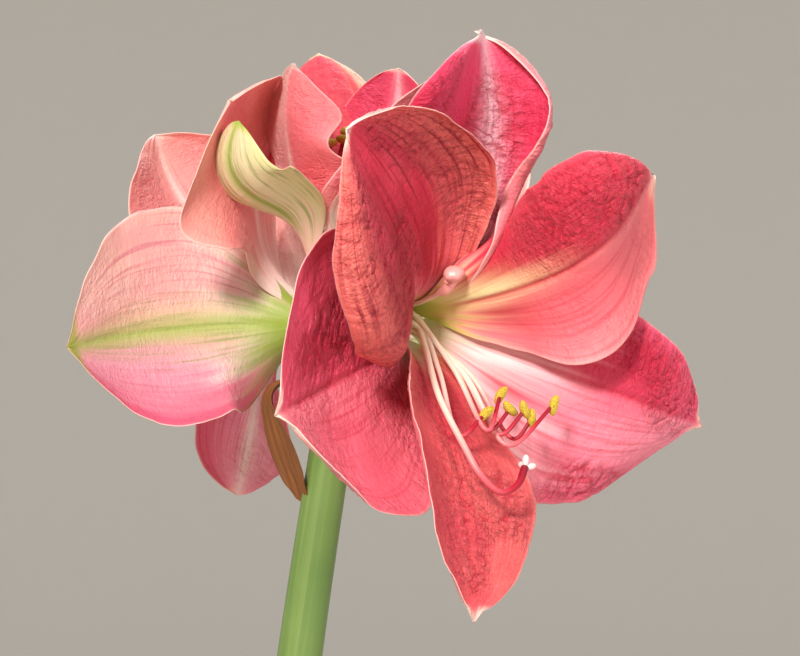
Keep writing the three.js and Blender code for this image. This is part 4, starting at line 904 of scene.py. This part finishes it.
# Petal skin: thin moist silky tissue. Long veins run from the claw to the margin, fine
# wrinkles cross them about 1 mm apart, and light passes through to warm the shaded side.
# Its creases, midrib groove and the troughs of its fine wrinkles, most on the inner face,
# are painted darker in the vein colour: a painted shade.
petal_finishes = []
for face in ("inner", "outer"):
    finish, tree, out = new_finish(f"silky petal, {face} face")
    tint = add(tree, "Attribute", attribute_name="tint")
    vein_and_shade_tint = add(tree, "Attribute", attribute_name="vein_and_shade_tint")
    lie = add(tree, "Attribute", attribute_name="lie")
    span = add(tree, "Attribute", attribute_name="span")
    drawn = add(tree, "Mapping", {"Vector": lie.outputs["Vector"], "Scale": (26, 2.2, 0)})
    vein = add(tree, "TexNoise", {"Vector": drawn.outputs[0], "Scale": 1, "Detail": 3, "Roughness": 0.6})
    veined = add(tree, "MapRange", {
        "Value": vein.outputs["Fac"], "From Min": 0.5, "From Max": 0.66, "To Min": 0, "To Max": 1})
    share = add(tree, "Math", {0: veined.outputs[0], 1: tint.outputs["Alpha"]}, operation="MULTIPLY")
    lined = add(tree, "Mix", {
        0: share.outputs[0], 6: tint.outputs["Color"], 7: vein_and_shade_tint.outputs["Color"]}, data_type="RGBA")
    crossed = add(tree, "Mapping", {"Vector": span.outputs["Vector"], "Scale": (0.6, 0.3, 0)})
    wrinkle = add(tree, "TexNoise", {
        "Vector": crossed.outputs[0], "Scale": 1, "Detail": 3.5, "Roughness": 0.62, "Distortion": 1.0})
    split = add(tree, "SeparateXYZ", {0: span.outputs["Vector"]})
    parts = add(tree, "SeparateXYZ", {0: lie.outputs["Vector"]})
    # Painted shade: the creases and midrib groove, and the troughs of the fine wrinkle noise in the crinkled
    # zones, are painted darker towards the vein colour.
    shade_in_creases = add(tree, "MapRange", {
        "Value": split.outputs[2], "From Min": 0.1, "From Max": 1, "To Min": 0, "To Max": 0.7})
    wrinkle_shade = add(tree, "MapRange", {
        "Value": wrinkle.outputs["Fac"], "From Min": 0.5, "From Max": 0.3, "To Min": 0,
        "To Max": 0.75 if face == "inner" else 0.25})
    spread = add(tree, "Math", {0: wrinkle_shade.outputs[0], 1: parts.outputs[2]}, operation="MULTIPLY")
    deep = add(tree, "Math", {0: shade_in_creases.outputs[0], 1: spread.outputs[0]}, operation="MAXIMUM")
    shaded = add(tree, "Mix", {
        0: deep.outputs[0], 6: lined.outputs[2], 7: vein_and_shade_tint.outputs["Color"]}, data_type="RGBA")
    ridge = add(tree, "Math", {0: vein.outputs["Fac"], 1: 0.35}, operation="MULTIPLY")
    height = add(tree, "Math", {0: wrinkle.outputs["Fac"], 1: ridge.outputs[0]}, operation="ADD")
    force = add(tree, "MapRange", {
        "Value": parts.outputs[2], "From Min": 0, "From Max": 0.8, "To Min": 0.12, "To Max": 1})
    skin = add(tree, "Bump", {
        "Height": height.outputs[0], "Strength": force.outputs[0], "Distance": 0.0023})
    surface = add(tree, "BsdfPrincipled", {
        "Base Color": shaded.outputs[2], "Roughness": 0.48, "IOR": 1.4, "Normal": skin.outputs[0],
        "Subsurface Weight": 0.2, "Subsurface Radius": (0.004, 0.0014, 0.001), "Subsurface Scale": 0.6,
        "Sheen Weight": 0.05, "Sheen Roughness": 0.4})
    tree.links.new(surface.outputs[0], out.inputs[0])
    petal_finishes.append(finish)

RUFFLE, DRAW_IN, POINT_WIDTH, PETAL_THICKNESS = 2.2, 1.6, 1.8, 0.9
seed = 100
for flower_name, flower in FLOWERS.items():
    axes = flower_axes(flower)
    flower["axes"] = axes
    along, halves = flower["grid"]
    for petal_name, petal in flower["petals"].items():
        seed += 10
        outer_whorl = petal_name.endswith("sepal")
        middle, u, v, reach = petal_surface(petal, SEPAL_RING if outer_whorl else PETAL_RING, along, halves)
        middle = middle + ease(u, 0, 0.15)[:, None, None] * np.array(petal.get("lift", (0, 0, 0)))
        along_mm = np.broadcast_to(u[:, None] * petal["length"], middle.shape[:2])
        across_mm = v * reach
        uu, vv = (np.broadcast_to(w, middle.shape[:2]) for w in (u[:, None], v))
        edge = np.abs(vv)
        nature = {**PLAIN_SKIN, **petal.get("skin", {})}
        relief, crinkle, crease_shade = petal_relief(nature, along_mm, across_mm, vv, uu, seed)
        slope_u, slope_v = np.gradient(middle, axis=0), np.gradient(middle, axis=1)
        normal = np.cross(slope_u, slope_v)
        normal /= np.maximum(np.linalg.norm(normal, axis=-1, keepdims=True), 1e-9)
        ruffle = RUFFLE * (cloud(along_mm / 10 + 15, 3.3 * np.sign(vv) + 40, seed + 9, 2) - 0.5)
        ruffle = ruffle * edge ** 5 * ease(uu, 0.2, 0.45) * (1 - ease(uu, 0.93, 1))
        middle = middle + normal * (relief + ruffle)[..., None]
        outwards = slope_v / np.maximum(np.linalg.norm(slope_v, axis=-1, keepdims=True), 1e-9)
        outwards = outwards * np.sign(vv)[..., None]
        draw_in = DRAW_IN * (cloud(along_mm / 7 + 5, 2.7 * np.sign(vv) + 60, seed + 11) - 0.5) * edge ** 8
        draw_in = draw_in * ease(uu, 0.2, 0.4) * (1 - ease(uu, 0.9, 1))
        middle = middle - outwards * draw_in[..., None]
        tip = slope_u[-1, halves] / np.linalg.norm(slope_u[-1, halves])
        point = nature["point"] * np.exp(-(across_mm / POINT_WIDTH) ** 2) * ease(uu, 0.955, 1)
        middle = middle + tip * point[..., None]
        thickness = PETAL_THICKNESS - 0.5 * edge ** 2 - 0.15 * uu
        shell, quads, kinds = blade_shell(middle, thickness)
        shell = shell @ axes + np.array(flower["throat"])
        spots = np.stack([(vv + 1) / 2, uu], -1).reshape(-1, 2)
        lie = np.stack([vv * nature["veins"] + 0.37 * seed, uu, crinkle], -1).reshape(-1, 3)
        # The span's third value is the painted crease shade, on the inner face only.
        span = [np.stack([along_mm, across_mm + 3.1 * seed, share * crease_shade], -1).reshape(-1, 3)
                for share in (1, 0)]
        tints, veins = [], []
        for preset, key in ((INNER, "inner"), (OUTER, "outer")):
            look = {**preset, **petal.get(key, {})}
            tint = petal_tint(look, nature, along_mm, across_mm, reach, vv, uu, crinkle, seed)
            tints.append(tint.reshape(-1, 4))
            inmost = 1 - ease(edge + 0.2 * (uu - 0.5), 0.2, 0.45)
            vein = mixed(np.array(linear(look["vein"])), linear(look.get("mid_vein", look["vein"])), inmost)
            veins.append(vein.reshape(-1, 4))
        blade = new_piece(
            f"{flower_name}_{petal_name}_silky", shell, quads, (), np.tile(spots, (2, 1)),
            {"lie": np.tile(lie, (2, 1)), "span": np.concatenate(span), "tint": np.concatenate(tints),
             "vein_and_shade_tint": np.concatenate(veins)}, kinds)
        for finish in petal_finishes:
            blade.data.materials.append(finish)
        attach(blade, "root")
        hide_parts(f"{flower_name}_{petal_name}")


# Pedicels. Each flower stands on its own short round stalk from the top of the scape; it
# swells into the three-sided green ovary right under the petals.
CORE_RADIUS, CORE_TOP, OVARY_RADIUS, OVARY_DEPTH, PEDICEL_RADIUS = 4.55, -1.5, 5.6, 17, 3.7
GAP = 0.33
for flower_name, flower in FLOWERS.items():
    axes, throat = flower["axes"], np.array(flower["throat"])
    foot = SCAPE_TOP + np.array([*flower["seat"], GAP + 0.1])
    knee = foot + np.array(flower["bow"])
    depths = [-OVARY_DEPTH - 6, -OVARY_DEPTH + 4, -8, CORE_TOP]
    corners = [foot, knee] + [throat + axes[2] * depth for depth in depths]
    path = smooth_path(corners, 64)
    total = np.linalg.norm(np.diff(path, axis=0), axis=1).sum()
    depth = (1 - np.linspace(0, 1, 64)) * total - CORE_TOP
    ovary = ease(depth, 7, 11) * (1 - ease(depth, OVARY_DEPTH, OVARY_DEPTH + 6))
    radius = CORE_RADIUS + (PEDICEL_RADIUS - CORE_RADIUS) * ease(depth, 8, OVARY_DEPTH + 4)
    radius = radius + (OVARY_RADIUS - CORE_RADIUS) * ovary
    lobed = (lambda ovary: lambda u, a: 1 + 0.05 * ovary[:, None] * np.cos(3 * a))(ovary)
    stalk = new_piece(f"{flower_name}_stalk_smooth", *tube(path, radius, 28, lobed))
    stalk.data.materials.append(waxy_stalk)
    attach(stalk, "root")
    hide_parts(f"{flower_name}_stalk")


# Stamens. Six filaments rise from one collar inside each flower, droop and turn up at the
# end, and each carries an anther dusted with yellow pollen. The front flower's points were
# chosen near places that another program worked out from points read off a photograph.
FRONT_STAMENS = [
    ((-8, -31, 56), (3, -24, 53)), ((1, -29, 58), (12, -19, 47)), ((9, -34, 59), (27, -21, 57)),
    ((15, -33, 53), (20, -26, 55)), ((8, -31, 55), (17, -23, 55)), ((5, -30, 53), (13, -23, 52)),
]
ANTHER = (1.6, 3.6, 1.7)
COLLAR_INSIDE, COLLAR_OUTSIDE, COLLAR_HEIGHT, FILAMENT_RADIUS = 1.9, 4, 1.8, 1.0
INNER_REACH = dict(left=52, upper=40, back=50)

# Filament: round, moist and smooth; cream in the throat, pink along its length and deep
# red where it turns up.
filament_finish, tree, out = new_finish("smooth filament")
place = add(tree, "UVMap", uv_map="UVMap")
split = add(tree, "SeparateXYZ", {0: place.outputs[0]})
tone = add(tree, "ValToRGB", {0: split.outputs[1]})
stops = [(0.0, "#E2E5AC"), (0.3, "#F7EAD8"), (0.58, "#F3C6BC"), (0.78, "#DD6470"), (0.9, "#AE1C34"),
         (1.0, "#84142A")]
while len(tone.color_ramp.elements) < len(stops):
    tone.color_ramp.elements.new(0.5)
for element, (at, code) in zip(tone.color_ramp.elements, stops):
    element.position, element.color = at, linear(code)
surface = add(tree, "BsdfPrincipled", {
    "Base Color": tone.outputs[0], "Roughness": 0.35, "IOR": 1.4,
    "Subsurface Weight": 0.15, "Subsurface Radius": (0.002, 0.001, 0.0008), "Subsurface Scale": 0.5})
tree.links.new(surface.outputs[0], out.inputs[0])

# Pollen: matt yellow grains, coarser here than real ones so that they show.
anther_finish, tree, out = new_finish("pollen-dusted anther")
solid = add(tree, "TexCoord")
grain = add(tree, "TexVoronoi", {"Vector": solid.outputs["Object"], "Scale": 2300})
tone = add(tree, "Mix", {
    0: grain.outputs["Distance"], 6: "#E9D24A", 7: "#94781A"}, data_type="RGBA")
relief = add(tree, "Bump", {
    "Height": grain.outputs["Distance"], "Strength": 0.6, "Distance": 0.0003}, invert=True)
surface = add(tree, "BsdfPrincipled", {
    "Base Color": tone.outputs[2], "Roughness": 0.9, "Normal": relief.outputs[0]})
tree.links.new(surface.outputs[0], out.inputs[0])


def anther_body(end, turn, rows, sides):
    """A closed bean: an ellipsoid of half sizes ANTHER with a groove along its length. The
    long way is up, turned by an angle about the flower's axis. Poles are closed by fans."""
    polar = np.linspace(0, pi, rows + 1)[1:-1, None]
    around = 2 * pi * np.arange(sides) / sides
    groove = 1 - 0.16 * np.exp(-((np.abs(around - pi) - pi / 2) / 0.35) ** 2)
    x = ANTHER[0] * np.sin(polar) * np.cos(around) * groove
    z = ANTHER[2] * np.sin(polar) * np.sin(around) * groove
    y = ANTHER[1] * np.cos(polar) + 0 * around
    x = x + 0.5 * (y / ANTHER[1]) ** 2
    ends = np.array([[0.5, ANTHER[1], 0], [0.5, -ANTHER[1], 0]])
    points = np.concatenate([np.stack([x, y, z], -1).reshape(-1, 3), ends])
    c, s = cos(turn), sin(turn)
    points = points @ np.array([[c, s, 0], [-s, c, 0], [0, 0, 1]]) + end
    quads, fans = ring_faces(rows - 1, sides)
    return points, quads, fans, np.tile([0.5, 0.5], (len(points), 1))


def curled_stub(sepal):
    """A short pink stub that grows from the collar: a tube along the sepal's claw, a few mm
    off it, that bends away at the end and swells into a small curled knob."""
    claw = petal_surface(sepal, SEPAL_RING, 100, 20)[0]
    inwards = np.cross(np.gradient(claw, axis=0), np.gradient(claw, axis=1))[:, 20]
    inwards /= np.linalg.norm(inwards, axis=1)[:, None]
    stub = [claw[row, 20] + inwards[row] * off for row, off in ((4, 3.4), (12, 2.6), (20, 3.0), (25, 4.6))]
    stub += [stub[-1] + np.array(step) for step in ((0.4, 4.2, 3.2), (-1.6, 5.2, 5.6), (-2.6, 3.6, 7.2))]
    path = smooth_path([(1.6, 2.6, CORE_TOP + GAP + 0.6), *stub], 70)
    t = np.linspace(0, 1, 70)
    radius = 0.9 + 1.1 * ease(t, 0.5, 0.75) + 1.3 * ease(t, 0.8, 0.9) - 1.2 * ease(t, 0.93, 1)
    part = tube(path, radius, 16, lambda u, a: 1 + ease(u, 0.5, 0.7) * (
        0.16 * np.cos(2 * a + 9 * u) + 0.1 * np.sin(3 * a - 14 * u)))
    part[3][:, 1] = 0.52 + 0.16 * ease(part[3][:, 1], 0.4, 0.8)
    return part


def kinds_of(first, second):
    """Material numbers of the faces of joined parts, quads before fans: 0 for those of the
    first parts and 1 for those of the second."""
    counts = [sum(len(part[k]) for part in parts) for k in (1, 2) for parts in (first, second)]
    return np.repeat([0, 1, 0, 1], counts)


for flower_name, flower in FLOWERS.items():
    axes, throat = flower["axes"], np.array(flower["throat"])
    extra = []
    if flower_name == "front":
        routes, steps, sides = FRONT_STAMENS, 60, 12
        extra = [curled_stub(flower["petals"]["top_sepal"])]
    else:
        reach, steps, sides = INNER_REACH[flower_name], 30, 8
        ways = [radians(60 * k + 20) for k in range(6)]
        routes = [((5 * cos(w), 4 * sin(w) - 5, reach * 0.75),
                   (8 * cos(w), 7 * sin(w) - 2, reach + 3 * cos(2 * w))) for w in ways]
    rise = CORE_TOP + GAP + 0.05
    top = rise + COLLAR_HEIGHT
    collar_points, collar_quads = turned([
        (COLLAR_INSIDE, rise), (COLLAR_OUTSIDE, rise), (COLLAR_OUTSIDE, top - 0.3),
        (COLLAR_OUTSIDE - 0.5, top), (COLLAR_INSIDE + 0.3, top), (COLLAR_INSIDE, top - 0.3)], 30)
    parts = [(collar_points.reshape(-1, 3), collar_quads, np.zeros((0, 3), int),
              np.tile([0.5, 0.0], (collar_points.size // 3, 1)))]
    bodies = []
    for k, (low, end) in enumerate(routes):
        way = 2 * pi * (k + 0.5) / 6
        ring = (COLLAR_INSIDE + COLLAR_OUTSIDE) / 2
        start = np.array([ring * cos(way), ring * sin(way), rise + 0.5])
        corners = [start, start + (0, 0, 6), (low[0] * 0.55, low[1] * 0.42, low[2] * 0.6), low, end]
        path = smooth_path(corners, steps)
        parts.append(tube(path, FILAMENT_RADIUS * (1 - 0.3 * np.linspace(0, 1, steps)), sides))
        turn, rows = radians(20 * (k - 2.5)), 16 if sides > 8 else 10
        bodies.append(anther_body(np.array(end, float), turn, rows, sides + 4))
    parts += extra
    points, quads, fans, spots = together(parts + bodies)
    stamens = new_piece(f"{flower_name}_stamens_pollen", points @ axes + throat, quads, fans, spots,
                        kinds=kinds_of(parts, bodies))
    stamens.data.materials.append(filament_finish)
    stamens.data.materials.append(anther_finish)
    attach(stamens, "root")
    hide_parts(f"{flower_name}_stamens")


# Pistil. The style is a long thin stem that droops further than the stamens and turns up at
# the end, where it parts in three short white-pink stigma lobes. The front flower's points
# were chosen as its stamens' were.
FRONT_STYLE = [(-11, -20, 46), (-10, -32, 60), (-7, -42, 69), (-1, -47, 72), (6, -45, 71), (11, -40, 67)]
STYLE_RADIUS = 1.1
STIGMA_LOBE = (2.4, 1.1, 1.1)

# Stigma: white with a breath of pink, matt from its fine hairs.
stigma_finish, tree, out = new_finish("velvety stigma")
solid = add(tree, "TexCoord")
nap = add(tree, "TexNoise", {"Vector": solid.outputs["Object"], "Scale": 2600, "Detail": 2})
soft = add(tree, "Mix", {
    0: nap.outputs["Fac"], 6: "#F4E4E4", 7: "#E9C4C8"}, data_type="RGBA")
surface = add(tree, "BsdfPrincipled", {
    "Base Color": soft.outputs[2], "Roughness": 0.8, "Sheen Weight": 0.3})
tree.links.new(surface.outputs[0], out.inputs[0])


def lobe_body(end, way, rows, sides):
    """A closed ellipsoid whose long half size points along the way, centred 1.9 mm out."""
    polar = np.linspace(0, pi, rows + 1)[1:-1, None]
    around = 2 * pi * np.arange(sides) / sides
    side = np.cross(way, (0.2, 0.3, 0.9))
    side /= np.linalg.norm(side)
    other = np.cross(way, side)
    along = STIGMA_LOBE[0] * np.cos(polar) + 0 * around
    fat = STIGMA_LOBE[1] * np.sin(polar) * (1 + 0.18 * np.cos(polar))
    points = end + way * 1.9 + along[..., None] * way + fat[..., None] * (
        np.cos(around)[:, None] * side + np.sin(around)[:, None] * other)
    ends = end + way * np.array([[1.9 + STIGMA_LOBE[0]], [1.9 - STIGMA_LOBE[0]]])
    points = np.concatenate([points.reshape(-1, 3), ends])
    quads, fans = ring_faces(rows - 1, sides)
    return points, quads[:, ::-1], fans[:, ::-1], np.tile([0.5, 0.5], (len(points), 1))


for flower_name, flower in FLOWERS.items():
    axes, throat = flower["axes"], np.array(flower["throat"])
    if flower_name == "front":
        route, steps, sides = FRONT_STYLE, 80, 14
    else:
        reach, steps, sides = INNER_REACH[flower_name], 36, 8
        route = [(0, -4, reach * 0.5), (0, -7, reach * 0.95), (0, -3, reach * 1.2)]
    path = smooth_path([(0, 0, CORE_TOP + GAP + 0.05), (0, 0, 8), *route], steps)
    radius = STYLE_RADIUS + 0.25 * ease(np.linspace(0, 1, steps), 0.9, 1)
    parts = [tube(path, radius, sides)]
    forward = (path[-1] - path[-2]) / np.linalg.norm(path[-1] - path[-2])
    side = np.cross(forward, (0, 0, 1))
    side /= np.linalg.norm(side)
    other = np.cross(forward, side)
    for turn in (90, 210, 330):
        way = side * cos(radians(turn)) + other * sin(radians(turn)) + 0.9 * forward
        parts.append(lobe_body(path[-1], way / np.linalg.norm(way), 12, sides))
    points, quads, fans, spots = together(parts)
    pistil = new_piece(f"{flower_name}_pistil_smooth", points @ axes + throat, quads, fans, spots,
                       kinds=kinds_of(parts[:1], parts[1:]))
    pistil.data.materials.append(filament_finish)
    pistil.data.materials.append(stigma_finish)
    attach(pistil, "root")
    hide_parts(f"{flower_name}_pistil")


# Sheath valves. The two halves of the sheath that wrapped the bud, now dry and folded back
# from the top of the scape: brown, papery and creased along their length.
VALVES = [
    dict(towards=186, length=64, width=18, lean=(8, 200), bend=(0, 0.42)),
    dict(towards=8, length=52, width=15, lean=(20, 196), bend=(0, 0.38)),
]
VALVE_START, VALVE_TWIST = 3, (-26, 30)
finish, tree, out = new_finish("dry sheath paper")
place = add(tree, "UVMap", uv_map="UVMap")
drawn = add(tree, "Mapping", {"Vector": place.outputs[0], "Scale": (24, 3, 1)})
fibre = add(tree, "TexNoise", {"Vector": drawn.outputs[0], "Scale": 1, "Detail": 5})
tone = add(tree, "Mix", {
    0: fibre.outputs["Fac"], 6: "#46230A", 7: "#945A22"}, data_type="RGBA")
relief = add(tree, "Bump", {"Height": fibre.outputs["Fac"], "Strength": 0.5, "Distance": 0.0006})
surface = add(tree, "BsdfPrincipled", {
    "Base Color": tone.outputs[2], "Roughness": 0.7, "Normal": relief.outputs[0],
    "Subsurface Weight": 0.2, "Subsurface Radius": (0.002, 0.001, 0.0005), "Subsurface Scale": 0.6})
tree.links.new(surface.outputs[0], out.inputs[0])
for k, valve in enumerate(VALVES):
    start = SCAPE_TOP - np.array([0, 0, VALVE_START])
    ring = RECEPTACLE_RADIUS + GAP + 0.5
    points, u, v, half = strap(valve, start, ring, 0.7, 90, 16, 1 / 20, VALVE_TWIST[k])
    across = v * half[:, None]
    crumple = 0.8 * (cloud(u[:, None] * 5 + 10, v * 3 + 10, 70 + k) - 0.5) \
        + 0.3 * np.sin(across * 1.9 + 3 * u[:, None])
    slope_u, slope_v = np.gradient(points, axis=0), np.gradient(points, axis=1)
    normal = np.cross(slope_u, slope_v)
    normal /= np.linalg.norm(normal, axis=-1, keepdims=True)
    points = points + normal * (crumple * ease(u, 0.05, 0.2)[:, None])[..., None]
    shell, quads, kinds = blade_shell(points, np.full(points.shape[:2], 0.35))
    spots = np.stack(np.broadcast_arrays((v + 1) / 2, u[:, None]), -1).reshape(-1, 2)
    husk = new_piece(f"sheath_valve_{k + 1}_papery", shell, quads, (), np.tile(spots, (2, 1)))
    husk.data.materials.append(finish)
    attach(husk, "root")
    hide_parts(f"sheath_valve_{k + 1}")
